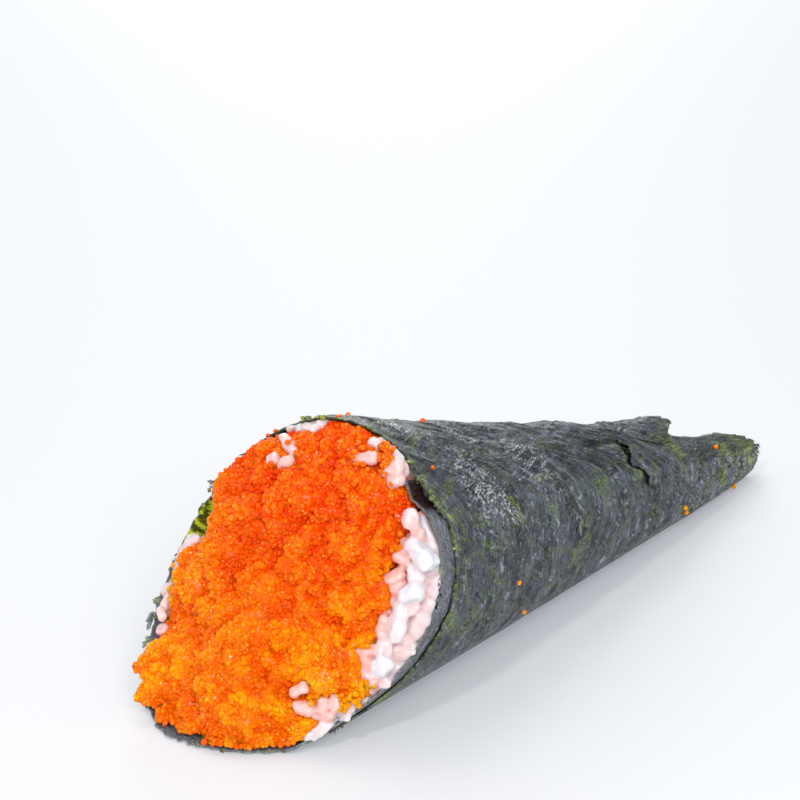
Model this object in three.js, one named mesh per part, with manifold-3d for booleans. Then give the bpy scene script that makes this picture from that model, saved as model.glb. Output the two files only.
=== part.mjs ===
// A temaki hand roll: one thin seaweed sheet rolled into a cone round rice, with fish roe heaped in
// its slanted mouth. Millimetres. The roll lies along Y, mouth towards -Y and tip at +Y, and rests on
// a flat strip of its underside at z = 0. The origin is on the table, below the middle of its length.
// Distances are from the tip, along Y. Angles go round the roll from +X towards +Z.
import * as THREE from "three";
import { mergeVertices } from "three/addons/utils/BufferGeometryUtils.js";
import Module from "manifold-3d";

const wasm = await Module();
wasm.setup();

const { clamp, lerp, smoothstep, degToRad: radians } = THREE.MathUtils;

// The cone. Its sections stand square to Y: an oval, flattened below, that grows with the distance
// from the tip as tip + slope * distance + curve * distance squared.
const LENGTH = 176.4;
const TIP_Y = LENGTH / 2 + 2; // where the sections would shrink to their tip size
const HALF_WIDTH = { tip: 3.7, slope: 0.184, curve: -0.00016 };
const HEIGHT = { tip: 11.1, slope: 0.243, curve: 0.0003 };
const BASE_SINK = 0.05; // how far the round underside is cut off to rest flat, as a share of the height
const TEAR_DROP = 2.8; // the tip is this much lower than the torn layer that ends above it
const TEAR_SPAN = { from: 32, to: 62 }; // distances between which that drop fades out
const PINCH = { share: 0.5, length: 5 }; // the sides close towards each other at the tip
const TIP_POINT = { front: 2, top: 4.5, left: 1.5 }; // how far short of that the sheet really ends

// The mouth's rim, as waves of its place along Y round the opening.
const RIM_Y = -62.8;
const RIM_WAVES = [
  { turns: 1, sine: 18.6, cosine: 3.2 },
  { turns: 2, sine: -3.1, cosine: 4.8 },
  { turns: 3, sine: -1.4, cosine: 0.2 },
];

// The seaweed sheet. It starts at the upper right of the mouth, runs down the right side, under the
// filling, up the left side and over the top, down the right side again, and ends underneath.
const FULL_TURN = 2 * Math.PI;
const SHEET_THICK = 0.5;
const LAYER_PITCH = 1.0; // outer face to outer face, where two layers lie on each other
const SHEET_START = radians(35);
const SHEET_STEP = radians(10);
const SHEET_COLUMNS = 51;
const SHEET_ROWS = 16;
const INNER_END = radians(150); // the turn up to which the sheet is the inner layer
const SET_BACK = { depth: 5, from: radians(295), to: radians(375) }; // the outer layer's front edge
const POCKET = { depth: 2.2, turn: radians(42), length: 16 }; // where the sheet's start stands open

// Shallow diagonal ripples of the sheet. They fade out where the sheet turns under.
const WRINKLE = 0.3;
const RIPPLES = [
  { length: 4.6, turns: 2, start: 0, share: 0.65 },
  { length: 3.1, turns: -3, start: 1.3, share: 0.35 },
];
const RIPPLE_FADE = { from: -0.75, to: -0.2 }; // sines of the angle

// The torn layer near the tip, with its flap standing up on top.
const TORN = {
  thick: 0.35,
  low: radians(6),
  high: radians(146),
  back: 92, // its edges, as distances
  crack: 64,
  flap: 38,
  step: radians(62), // where round the roll the edge steps from crack to flap
  edgeStep: { before: 0.06, after: 0.12 }, // how far round that step takes, in radians
  liftStep: { before: 0.1, after: 0.25 },
  fade: { low: 0.3, high: 0.5 },
  sunk: 0.17, // how far it lies in the sheet below, away from its lifted edge
  crackLift: { height: 0.75, power: 2 },
  flapLift: { height: 4, power: 1.6 },
};
const TORN_COLUMNS = 14;
const TORN_ROWS = 8;

// Rice and roe. The rice fills the cone and comes up to the mouth in strips beside the roe.
const FILL_GAP = 0.55; // clearance to the seaweed
const FILL_SIDES = 72; // the facets round rice and roe, alike so that their borders follow each other
const RICE_TAPER = { from: 78, to: 62, depth: 0.6, stations: [62, 46, 31, 16], point: 1.5 };
const RICE_SIDES = [0.33, 0.67, 1]; // shares of the way from the mouth to where the taper starts
const RICE_SINK = 1.6; // how far the strips of rice lie behind the rim
const RICE_STEP = { width: 0.02, bare: 0.94, from: 0.02, full: 0.06 }; // shares of the mouth's reach
const STRIP_EDGE = 0.4; // the share of a strip's half width from which it fades
const STRIPS = [
  { at: -3, half: 44, share: 0.27 },
  { at: -50, half: 10, share: 0.2 },
  { at: 62, half: 12, share: 0.12 },
  { at: 117, half: 12, share: 0.22 },
  { at: 199, half: 16, share: 0.18 },
];
const BARE = { at: 177, half: 16, share: 0.14 }; // here neither rice nor roe reaches the seaweed
const OVERHANG = { at: 220, half: 34, share: 3.4 }; // here roe hangs out past the rim, in millimetres

const ROE_RINGS = 15;
const ROE_RING_POWER = 0.8; // the rings lie closer together towards the rim
const ROE_DEPTH = 6;
const ROE_GAP = 0.5; // clearance between rice and roe, along Y
const ROE_BORDER = { margin: 6, gap: 0.022, full: 0.03 }; // and beside the strips
const ROE_BACK = [1, 0.55]; // the rings of its flat back, as shares of its reach
const ROE_CROWN = { height: 4, power: 3 };
const ROE_EDGE = { depth: 0.8, power: 8 }; // its edge rounds off behind the rim
const ROE_RELIEF = { height: 0.9, power: 6 }; // lumps, fading towards the edge
const ROE_SEED = 417;
const EGG = 1.05; // diameter of one roe egg
const EGGS_ON_ROE = { count: 42, inside: 0.06, lift: [0, -0.2, 0.15] };

// Grains that show on the strips of rice.
const GRAIN = { length: 6.8, width: 2.7, thick: 2.43, count: 47, sides: 5, rings: 4, tilt: radians(50) };
const GRAIN_ROOM = 0.3; // clearance of a grain to roe and seaweed
const GRAIN_TRIES = 30; // at most this many tries for each grain
const GRAIN_SPREAD = { strips: 1.6, along: 1.7, from: 0.12, to: 0.88, least: 0.05, tilt: 0.9 };
const GRAIN_SEED = 90210;
const SIZE_SPREAD = 0.3; // of grains and eggs, as a share

// Loose eggs on the outside: degrees round the roll, and distance.
const LOOSE_EGG = { scale: 1.1, sunk: 0.15 };
const LOOSE_EGGS = [
  [99, 136],
  [102, 132],
  [101, 112],
  [52, 133],
  [53, 24],
  [-9, 117],
  [-32, 110],
  [-16, 45],
  [-25, 43],
  [-36, 17],
  [133, 138],
  [137, 138.6],
  [198, 157],
  [204, 160],
];

// A seeded source of random numbers from 0 to 1: the minimal standard generator.
function randomSource(seed) {
  const multiplier = 16807;
  const modulus = 2147483647;
  let state = seed;
  return () => {
    state = (state * multiplier) % modulus;
    return (state - 1) / (modulus - 1);
  };
}

function grown({ tip, slope, curve }, distance) {
  return tip + slope * distance + curve * distance * distance;
}

function sectionHalfWidth(y) {
  const distance = TIP_Y - y;
  const pinched = PINCH.share * Math.exp((TIP_POINT.front - distance) / PINCH.length);
  return grown(HALF_WIDTH, distance) * (1 - pinched);
}

function sectionHeight(y) {
  const distance = TIP_Y - y;
  const drop = TEAR_DROP * (1 - smoothstep(distance, TEAR_SPAN.from, TEAR_SPAN.to));
  return grown(HEIGHT, distance) - drop;
}

// A point of the section at y, at an angle round it, the given inset in from the outer outline.
function sectionPoint(angle, y, inset) {
  const height = sectionHeight(y);
  const rise = Math.sin(angle);
  const reach = height / 2 - inset + (rise < 0 ? BASE_SINK * height : 0);
  const x = (sectionHalfWidth(y) - inset) * Math.cos(angle);
  const z = Math.max(height / 2 + reach * rise, Math.max(inset, 0));
  return new THREE.Vector3(x, y, z);
}

// The place along Y of the mouth's surface: share is 0 at its middle and 1 at the rim.
function mouthY(share, angle) {
  return RIM_WAVES.reduce(
    (y, { turns, sine, cosine }) =>
      y + share ** turns * (sine * Math.sin(turns * angle) + cosine * Math.cos(turns * angle)),
    RIM_Y,
  );
}

// How far the sheet stands out at an angle and y. Each ripple goes whole turns round the roll.
function ripple(angle, y) {
  const above = smoothstep(Math.sin(angle), RIPPLE_FADE.from, RIPPLE_FADE.to);
  const wave = RIPPLES.reduce(
    (sum, { length, turns, start, share }) => sum + share * Math.sin(y / length + turns * angle + start),
    0,
  );
  return WRINKLE * above * wave;
}

// How far the outer face of the sheet lies inside the roll's outline, at a turn along the sheet.
function sheetInset(turn, y) {
  const layer = 1 - clamp((turn - INNER_END) / (FULL_TURN - INNER_END), 0, 1);
  const opening = Math.max(0, 1 - turn / POCKET.turn);
  const depth = Math.exp(-Math.max(0, y - mouthY(1, SHEET_START)) / POCKET.length);
  const loose = (1 - layer) * ripple(SHEET_START - turn, y);
  return LAYER_PITCH * layer + POCKET.depth * opening * depth - loose;
}

function sheetFront(turn) {
  return mouthY(1, SHEET_START - turn) + SET_BACK.depth * smoothstep(turn, SET_BACK.from, SET_BACK.to);
}

function sheetEnd(turn) {
  const angle = SHEET_START - turn;
  const left = (1 - Math.cos(angle)) / 2;
  return TIP_Y - TIP_POINT.front - TIP_POINT.top * Math.sin(angle) ** 2 - TIP_POINT.left * left;
}

// A closed solid from two like grids of points: face 0 outside, face 1 inside.
function sheetGeometry(columns, rows, pointAt) {
  const positions = [];
  for (let face = 0; face < 2; face++) {
    for (let i = 0; i <= columns; i++) {
      for (let j = 0; j <= rows; j++) positions.push(...pointAt(face, i / columns, j / rows));
    }
  }
  const at = (face, i, j) => (face * (columns + 1) + i) * (rows + 1) + j;
  const triangles = [];
  const quad = (a, b, c, d) => triangles.push(a, c, b, a, d, c);
  for (let i = 0; i < columns; i++) {
    for (let j = 0; j < rows; j++) {
      quad(at(0, i, j), at(0, i, j + 1), at(0, i + 1, j + 1), at(0, i + 1, j));
      quad(at(1, i, j), at(1, i + 1, j), at(1, i + 1, j + 1), at(1, i, j + 1));
    }
    quad(at(0, i, 0), at(0, i + 1, 0), at(1, i + 1, 0), at(1, i, 0));
    quad(at(0, i, rows), at(1, i, rows), at(1, i + 1, rows), at(0, i + 1, rows));
  }
  for (let j = 0; j < rows; j++) {
    quad(at(0, 0, j), at(1, 0, j), at(1, 0, j + 1), at(0, 0, j + 1));
    quad(at(0, columns, j), at(0, columns, j + 1), at(1, columns, j + 1), at(1, columns, j));
  }
  const geometry = new THREE.BufferGeometry();
  geometry.setAttribute("position", new THREE.Float32BufferAttribute(positions, 3));
  geometry.setIndex(triangles);
  return geometry;
}

// A closed solid from rings of points, with a single point before the first and after the last.
function ringGeometry(first, rings, last) {
  const sides = rings[0].length;
  const positions = [...first, ...rings.flat().flatMap((point) => [...point]), ...last];
  const end = rings.length * sides + 1;
  const at = (ring, side) => 1 + ring * sides + (side % sides);
  const triangles = [];
  for (let side = 0; side < sides; side++) {
    triangles.push(0, at(0, side), at(0, side + 1));
    for (let ring = 0; ring + 1 < rings.length; ring++) {
      triangles.push(at(ring, side), at(ring + 1, side), at(ring + 1, side + 1));
      triangles.push(at(ring, side), at(ring + 1, side + 1), at(ring, side + 1));
    }
    triangles.push(at(rings.length - 1, side), end, at(rings.length - 1, side + 1));
  }
  const geometry = new THREE.BufferGeometry();
  geometry.setAttribute("position", new THREE.Float32BufferAttribute(positions, 3));
  geometry.setIndex(triangles);
  return geometry;
}

function solidOf(geometry) {
  const weldDistance = 1e-4;
  const bare = geometry.clone();
  bare.deleteAttribute("normal");
  bare.deleteAttribute("uv");
  const merged = mergeVertices(bare, weldDistance);
  return new wasm.Manifold(
    new wasm.Mesh({
      numProp: 3,
      vertProperties: merged.attributes.position.array,
      triVerts: new Uint32Array(merged.index.array),
    }),
  );
}

// The main body of a joined solid, without the scraps and sealed hollows that joining can leave.
function mainBody(solid) {
  return solid.decompose().reduce((most, body) => (body.volume() > most.volume() ? body : most));
}

function meshOf(name, solid, material) {
  const { vertProperties, triVerts } = mainBody(solid).getMesh();
  const geometry = new THREE.BufferGeometry();
  geometry.setAttribute("position", new THREE.BufferAttribute(vertProperties, 3));
  geometry.setIndex(new THREE.BufferAttribute(triVerts, 1));
  geometry.computeVertexNormals();
  const mesh = new THREE.Mesh(geometry, material);
  mesh.name = name;
  return mesh;
}

// A low round egg, sunk a little into what it lies on.
function eggSolid(place, diameter) {
  const egg = new THREE.IcosahedronGeometry(diameter / 2, 0);
  egg.translate(place.x, place.y, place.z);
  return solidOf(egg);
}

function rolledSheet() {
  const geometry = sheetGeometry(SHEET_COLUMNS, SHEET_ROWS, (face, across, along) => {
    const turn = across * SHEET_COLUMNS * SHEET_STEP;
    const y = lerp(sheetFront(turn), sheetEnd(turn), along);
    return sectionPoint(SHEET_START - turn, y, sheetInset(turn, y) + face * SHEET_THICK);
  });
  return solidOf(geometry);
}

// How far the torn layer's outer face stands above the rolled sheet.
function tornLift(angle, nearEdge) {
  const { low, high, step, fade, liftStep, crackLift, flapLift, sunk } = TORN;
  const sides = smoothstep(angle, low, low + fade.low) * (1 - smoothstep(angle, high - fade.high, high));
  const onTop = smoothstep(angle, step - liftStep.before, step + liftStep.after);
  const crack = crackLift.height * nearEdge ** crackLift.power;
  const flap = flapLift.height * nearEdge ** flapLift.power;
  return sides * lerp(crack, flap, onTop) - sunk;
}

function tornEdge(angle) {
  const { step, edgeStep, crack, flap } = TORN;
  return lerp(crack, flap, smoothstep(angle, step - edgeStep.before, step + edgeStep.after));
}

function tornLayer() {
  const geometry = sheetGeometry(TORN_COLUMNS, TORN_ROWS, (face, across, along) => {
    const angle = lerp(TORN.high, TORN.low, across);
    const y = TIP_Y - lerp(TORN.back, tornEdge(angle), along);
    const inset = face * TORN.thick - tornLift(angle, along) - ripple(angle, y);
    return sectionPoint(angle, y, inset);
  });
  return solidOf(geometry);
}

// The turn along the sheet, within the first round, whose layer the filling meets at an angle.
function firstTurn(angle) {
  const turn = (SHEET_START - angle) % FULL_TURN;
  return turn < 0 ? turn + FULL_TURN : turn;
}

// The inset of the filling's side. It eases over the step where the sheet starts.
function fillInset(angle, y) {
  const turn = firstTurn(angle);
  const start = sheetInset(0, y);
  const rippled = turn > INNER_END ? WRINKLE / 2 : 0;
  const own = sheetInset(turn, y) + rippled;
  const easing = smoothstep(turn, FULL_TURN - POCKET.turn, FULL_TURN - SHEET_STEP);
  const taper = RICE_TAPER.depth * (1 - smoothstep(TIP_Y - y, RICE_TAPER.to, RICE_TAPER.from));
  return Math.max(own, lerp(own, start, easing)) + SHEET_THICK + FILL_GAP + taper;
}

// A point of the filling at a share of the way from the cone's middle line to its wall.
function fillPoint(share, angle, y) {
  const middle = new THREE.Vector3(0, y, sectionHeight(y) / 2);
  return middle.lerp(sectionPoint(angle, y, fillInset(angle, y)), share);
}

// A strip's share at an angle: whole along its middle, none past its ends. The margin widens it.
function stripShare({ at, half, share }, angle, margin = 0) {
  const turn = angle - radians(at);
  const apart = Math.abs(Math.atan2(Math.sin(turn), Math.cos(turn)));
  return share * (1 - smoothstep(apart / radians(half + margin), STRIP_EDGE, 1));
}

function riceShare(angle, margin = 0) {
  return Math.max(...STRIPS.map((strip) => stripShare(strip, angle, margin)));
}

// A ring of points at the angles that all sections of the filling share.
function fillRing(pointAt) {
  return Array.from({ length: FILL_SIDES }, (_, i) => pointAt(SHEET_START + (i * FULL_TURN) / FILL_SIDES));
}

// Where the rice's front starts to step up to its strips, as a share of the mouth's reach.
function riceStep(angle) {
  const strip = riceShare(angle);
  return lerp(RICE_STEP.bare, 1 - strip, smoothstep(strip, 0, RICE_STEP.full));
}

function riceFrontPoint(share, angle) {
  const step = riceStep(angle);
  const inStrip = smoothstep(riceShare(angle), RICE_STEP.from, RICE_STEP.full);
  const raised = inStrip * smoothstep(share, step, step + RICE_STEP.width);
  return fillPoint(share, angle, mouthY(share, angle) + lerp(ROE_DEPTH, RICE_SINK, raised));
}

function riceCore() {
  const middleShare = 0.5;
  const front = fillRing((a) => riceFrontPoint(middleShare, a));
  const step = [0, RICE_STEP.width].map((past) => fillRing((a) => riceFrontPoint(riceStep(a) + past, a)));
  const rim = fillRing((a) => riceFrontPoint(1, a));
  const [taperStart, ...taper] = RICE_TAPER.stations.map((distance) => TIP_Y - distance);
  const sides = RICE_SIDES.map((depth) =>
    fillRing((a) => fillPoint(1, a, lerp(riceFrontPoint(1, a).y, taperStart, depth))),
  );
  const thin = taper.map((y) => fillRing((a) => fillPoint(1, a, y)));
  const start = fillPoint(0, 0, mouthY(0, 0) + ROE_DEPTH);
  const end = fillPoint(0, 0, taper.at(-1) + RICE_TAPER.point);
  return solidOf(ringGeometry(start, [front, ...step, rim, ...sides, ...thin], end));
}

// Lumps and crevices of the heaped roe, from crossed waves of two sizes.
function roeRelief({ x, z }) {
  const coarse = Math.sin(x / 3.1 + 1.2 * Math.sin(z / 4.3)) * Math.sin(z / 3.6 + 0.7);
  const fine = Math.sin(x / 1.3 + z / 2.1) * Math.sin(z / 1.1 - x / 2.9 + 2);
  return ROE_RELIEF.height * (0.6 * coarse + 0.4 * fine);
}

function roeFrontPoint(share, angle) {
  const flat = fillPoint(share, angle, mouthY(share, angle));
  const crown = ROE_CROWN.height * (1 - share ** ROE_CROWN.power);
  const lumps = (1 - share ** ROE_RELIEF.power) * roeRelief(flat);
  const edge = (ROE_EDGE.depth - stripShare(OVERHANG, angle)) * share ** ROE_EDGE.power;
  return fillPoint(share, angle, flat.y - crown - lumps + edge);
}

function roeReach(angle) {
  const taken = Math.max(riceShare(angle, ROE_BORDER.margin), stripShare(BARE, angle));
  return 1 - taken - ROE_BORDER.gap * smoothstep(taken, 0, ROE_BORDER.full);
}

function roeHeap() {
  const shares = Array.from({ length: ROE_RINGS }, (_, i) => ((i + 1) / ROE_RINGS) ** ROE_RING_POWER);
  const front = shares.map((share) => fillRing((a) => roeFrontPoint(share * roeReach(a), a)));
  const back = ROE_BACK.map((share) =>
    fillRing((a) => {
      const reach = share * roeReach(a);
      return fillPoint(reach, a, mouthY(reach, a) + ROE_DEPTH - ROE_GAP);
    }),
  );
  const first = roeFrontPoint(0, 0);
  const last = fillPoint(0, 0, mouthY(0, 0) + ROE_DEPTH - ROE_GAP);
  return solidOf(ringGeometry(first, [...front, ...back], last));
}

function roeWithEggs(heap) {
  const random = randomSource(ROE_SEED);
  const lift = new THREE.Vector3(...EGGS_ON_ROE.lift);
  const eggs = Array.from({ length: EGGS_ON_ROE.count }, () => {
    const angle = random() * FULL_TURN;
    const share = Math.sqrt(random()) * (roeReach(angle) - EGGS_ON_ROE.inside);
    const diameter = EGG * (1 + SIZE_SPREAD * random());
    return eggSolid(roeFrontPoint(share, angle).add(lift), diameter);
  });
  return heap.add(wasm.Manifold.union(eggs));
}

// A grain at the origin, lying at the turn and tilt given, and its room: the same with a margin all
// round.
function grainAndRoom(size, turn, tilt) {
  return [0, 2 * GRAIN_ROOM].map((margin) => {
    const grain = new THREE.SphereGeometry(0.5, GRAIN.sides, GRAIN.rings);
    const [x, y, z] = [GRAIN.width, GRAIN.length, GRAIN.thick].map((side) => side * size + margin);
    return grain.scale(x, y, z).rotateZ(turn).rotateX(tilt);
  });
}

// Grains laid at random on the strips of rice. One that would cross its neighbours is skipped.
function riceWithGrains(core, neighbours) {
  const random = randomSource(GRAIN_SEED);
  const laid = [];
  for (let tries = 0; laid.length < GRAIN.count && tries < GRAIN.count * GRAIN_TRIES; tries++) {
    const strip = STRIPS[Math.floor(random() ** GRAIN_SPREAD.strips * STRIPS.length)];
    const angle = radians(strip.at + (random() - 0.5) * GRAIN_SPREAD.along * strip.half);
    const share = lerp(1 - riceShare(angle), 1, lerp(GRAIN_SPREAD.from, GRAIN_SPREAD.to, random()));
    const { x, y, z } = riceFrontPoint(share, angle);
    const tilt = GRAIN.tilt + (random() - 0.5) * GRAIN_SPREAD.tilt;
    const size = 1 + (random() - 0.5) * SIZE_SPREAD;
    const [grain, room] = grainAndRoom(size, random() * Math.PI, tilt);
    const crossed = solidOf(room.translate(x, y, z)).intersect(neighbours);
    const clear = crossed.volume() === 0 && riceShare(angle) > GRAIN_SPREAD.least;
    if (clear) laid.push(solidOf(grain.translate(x, y, z)));
  }
  return core.add(wasm.Manifold.union(laid));
}

// Eggs stuck to the outermost layer of the sheet.
function looseEggs() {
  const sheetTurn = SHEET_COLUMNS * SHEET_STEP;
  return LOOSE_EGGS.map(([degrees, distance]) => {
    const angle = radians(degrees);
    const first = firstTurn(angle);
    const turn = first + FULL_TURN > sheetTurn ? first : first + FULL_TURN;
    const y = TIP_Y - distance;
    const inset = sheetInset(turn, y) - LOOSE_EGG.sunk;
    return eggSolid(sectionPoint(angle, y, inset), EGG * LOOSE_EGG.scale);
  });
}

const SEAWEED = new THREE.MeshStandardMaterial({ color: 0x3c4745, roughness: 0.5, metalness: 0 });
const RICE = new THREE.MeshStandardMaterial({ color: 0xf3ebe6, roughness: 0.4, metalness: 0 });
const ROE = new THREE.MeshStandardMaterial({ color: 0xf77a12, roughness: 0.3, metalness: 0 });

const nori = wasm.Manifold.union([rolledSheet(), tornLayer(), ...looseEggs()]);
const heap = roeHeap();
const rice = riceWithGrains(riceCore(), heap.add(nori));

const handRoll = new THREE.Group();
handRoll.add(meshOf("nori", nori, SEAWEED));
handRoll.add(meshOf("rice", rice, RICE));
handRoll.add(meshOf("roe", roeWithEggs(heap), ROE));

export default handRoll;
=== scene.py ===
"""A temaki hand roll: a seaweed cone filled with rice, fish roe heaped in its slanted mouth.

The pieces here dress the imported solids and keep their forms, so the roll's shape is repeated from
the same named sizes. Sizes are millimetres until a mesh is made, and metres from there on. The roll
lies along Y, mouth towards -Y and tip at +Y. Distances are from the tip, and angles go round the
roll from +X towards +Z.
"""

import logging
import math
from dataclasses import astuple, dataclass, field
from enum import Enum
from functools import reduce

import bmesh
import bpy
import numpy as np
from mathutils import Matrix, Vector


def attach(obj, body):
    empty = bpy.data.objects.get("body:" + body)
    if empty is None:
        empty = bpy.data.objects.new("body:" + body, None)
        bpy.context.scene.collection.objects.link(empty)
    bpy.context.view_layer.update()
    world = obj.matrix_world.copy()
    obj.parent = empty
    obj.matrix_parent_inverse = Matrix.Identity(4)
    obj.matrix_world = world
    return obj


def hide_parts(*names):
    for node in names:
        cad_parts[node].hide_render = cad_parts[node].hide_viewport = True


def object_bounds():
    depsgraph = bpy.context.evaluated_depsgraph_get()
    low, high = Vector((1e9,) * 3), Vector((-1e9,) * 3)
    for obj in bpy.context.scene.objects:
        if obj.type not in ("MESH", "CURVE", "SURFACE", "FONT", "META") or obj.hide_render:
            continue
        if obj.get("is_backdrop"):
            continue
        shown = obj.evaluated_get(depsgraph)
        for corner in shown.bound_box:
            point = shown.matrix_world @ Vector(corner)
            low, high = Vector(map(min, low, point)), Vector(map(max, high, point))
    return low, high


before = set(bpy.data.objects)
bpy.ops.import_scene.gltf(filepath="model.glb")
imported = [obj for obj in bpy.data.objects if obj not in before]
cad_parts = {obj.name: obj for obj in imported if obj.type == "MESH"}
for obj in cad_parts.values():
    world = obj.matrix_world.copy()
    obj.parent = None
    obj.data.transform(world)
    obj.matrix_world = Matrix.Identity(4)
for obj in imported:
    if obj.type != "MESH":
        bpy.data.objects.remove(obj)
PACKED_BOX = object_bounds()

MM = 0.001
FULL_TURN = 2.0 * math.pi

# How far round the roll one radian goes, at its mouth, its torn layer and its tip.
RIM_RADIUS = 26.0
TORN_RADIUS = 18.0
TIP_RADIUS = 6.0

# Steps in which a place on the slanted mouth is found.
MOUTH_STEPS = 20

LOG = logging.getLogger("hand_roll")

Colour = tuple[float, float, float]
Spots = tuple[tuple[float, float, float], ...]
Named = dict[str | int, object]
Array = np.ndarray
Values = dict[str, Array]
Piece = bpy.types.Object
Tree = bpy.types.NodeTree
Material = bpy.types.Material
Socket = bpy.types.NodeSocket


def eased(value: Array, low: float, high: float) -> Array:
    """Steps smoothly from 0 to 1.

    Args:
        value: What the step depends on.
        low: The value up to which the result is 0.
        high: The value from which it is 1.

    Returns:
        The step at each value.
    """
    share = np.clip((value - low) / (high - low), 0.0, 1.0)
    return share * share * (3.0 - 2.0 * share)


def mixed(start: Array, end: Array, share: Array) -> Array:
    """Returns the value at a share of the way from start to end."""
    return start + (end - start) * share


def linear(red: int, green: int, blue: int) -> Colour:
    """Turns a screen colour into the linear one that a shader takes.

    Args:
        red: From 0 to 255.
        green: From 0 to 255.
        blue: From 0 to 255.

    Returns:
        The three linear parts, from 0 to 1.
    """
    parts = (channel / 255.0 for channel in (red, green, blue))
    return tuple(p / 12.92 if p <= 0.04045 else ((p + 0.055) / 1.055) ** 2.4 for p in parts)


class Tear(Enum):
    """The uneven lines of torn seaweed: the distance between a line's corners, and its seed."""

    RIM_FINE = (0.55, 5)
    RIM_COARSE = (2.6, 8)
    TIP = (0.7, 14)
    FLAP_FINE = (0.8, 21)
    FLAP_COARSE = (3.0, 25)
    CRACK = (0.9, 33)
    LIP_WIDTH = (1.7, 40)
    LIP_RISE = (2.3, 44)
    SHREDS = (4.0, 3)


def jagged(along: Array, tear: Tear) -> Array:
    """Makes the uneven line of a torn edge.

    Args:
        along: Places along the edge, in millimetres.
        tear: Which line it is.

    Returns:
        Values from -1 to 1, straight between the line's corners.
    """
    corners = 1024
    spacing, seed = tear.value
    heights = np.random.default_rng(seed).uniform(-1.0, 1.0, 2 * corners)
    return np.interp(along / spacing, np.arange(-corners, corners), heights)


@dataclass(frozen=True)
class RollForm:
    """The cone that the sheet and the filling share."""

    tip_y: float = 90.2
    width_terms: tuple[float, float, float] = (3.7, 0.184, -0.00016)
    height_terms: tuple[float, float, float] = (11.1, 0.243, 0.0003)
    base_sink: float = 0.05
    tear_drop: float = 2.8
    tear_span: tuple[float, float] = (32.0, 62.0)
    pinch_share: float = 0.5
    pinch_length: float = 5.0
    tip_front: float = 2.0
    rim_y: float = -62.8
    rim_waves: tuple[tuple[int, float, float], ...] = (
        (1, 18.6, 3.2), (2, -3.1, 4.8), (3, -1.4, 0.2),
    )
    wrinkle: float = 0.3
    ripples: tuple[tuple[float, int, float, float], ...] = (
        (4.6, 2, 0.0, 0.65), (3.1, -3, 1.3, 0.35),
    )
    ripple_fade: tuple[float, float] = (-0.75, -0.2)

    def half_width(self, y: Array) -> Array:
        """Works out half the roll's width.

        Args:
            y: The place along it.

        Returns:
            Half its width there, less where it is pinched at the tip.
        """
        distance = self.tip_y - y
        tip, slope, curve = self.width_terms
        pinched = self.pinch_share * np.exp((self.tip_front - distance) / self.pinch_length)
        return (tip + slope * distance + curve * distance**2) * (1.0 - pinched)

    def height(self, y: Array) -> Array:
        """Works out the roll's height.

        Args:
            y: The place along it.

        Returns:
            Its height there, lower in front of the torn layer.
        """
        distance = self.tip_y - y
        tip, slope, curve = self.height_terms
        drop = self.tear_drop * (1.0 - eased(distance, *self.tear_span))
        return tip + slope * distance + curve * distance**2 - drop

    def point(self, angle: Array, y: Array, inset: Array) -> Array:
        """Finds points of the roll's sections.

        Args:
            angle: The angle round the roll.
            y: The place along it.
            inset: How far in from the outer outline.

        Returns:
            The points, with x, y and z in the last axis.
        """
        angle, y, inset = np.broadcast_arrays(angle, y, inset)
        height = self.height(y)
        rise = np.sin(angle)
        reach = height / 2.0 - inset + np.where(rise < 0.0, self.base_sink * height, 0.0)
        x = (self.half_width(y) - inset) * np.cos(angle)
        z = np.maximum(height / 2.0 + reach * rise, np.maximum(inset, 0.0))
        return np.stack([x, y, z], axis=-1)

    def mouth_y(self, share: Array, angle: Array) -> Array:
        """Works out where the slanted mouth is.

        Args:
            share: 0 at its middle and 1 at the rim.
            angle: The angle round the roll.

        Returns:
            Its place along Y.
        """
        waves = (
            share**turns * (sine * np.sin(turns * angle) + cosine * np.cos(turns * angle))
            for turns, sine, cosine in self.rim_waves
        )
        return self.rim_y + sum(waves)

    def ripple(self, angle: Array, y: Array) -> Array:
        """Works out the rolled sheet's shallow ripples.

        Args:
            angle: The angle round the roll.
            y: The place along it.

        Returns:
            How far the sheet stands out there.
        """
        waves = (
            share * np.sin(y / length + turns * angle + start)
            for length, turns, start, share in self.ripples
        )
        return self.wrinkle * eased(np.sin(angle), *self.ripple_fade) * sum(waves)


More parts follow.
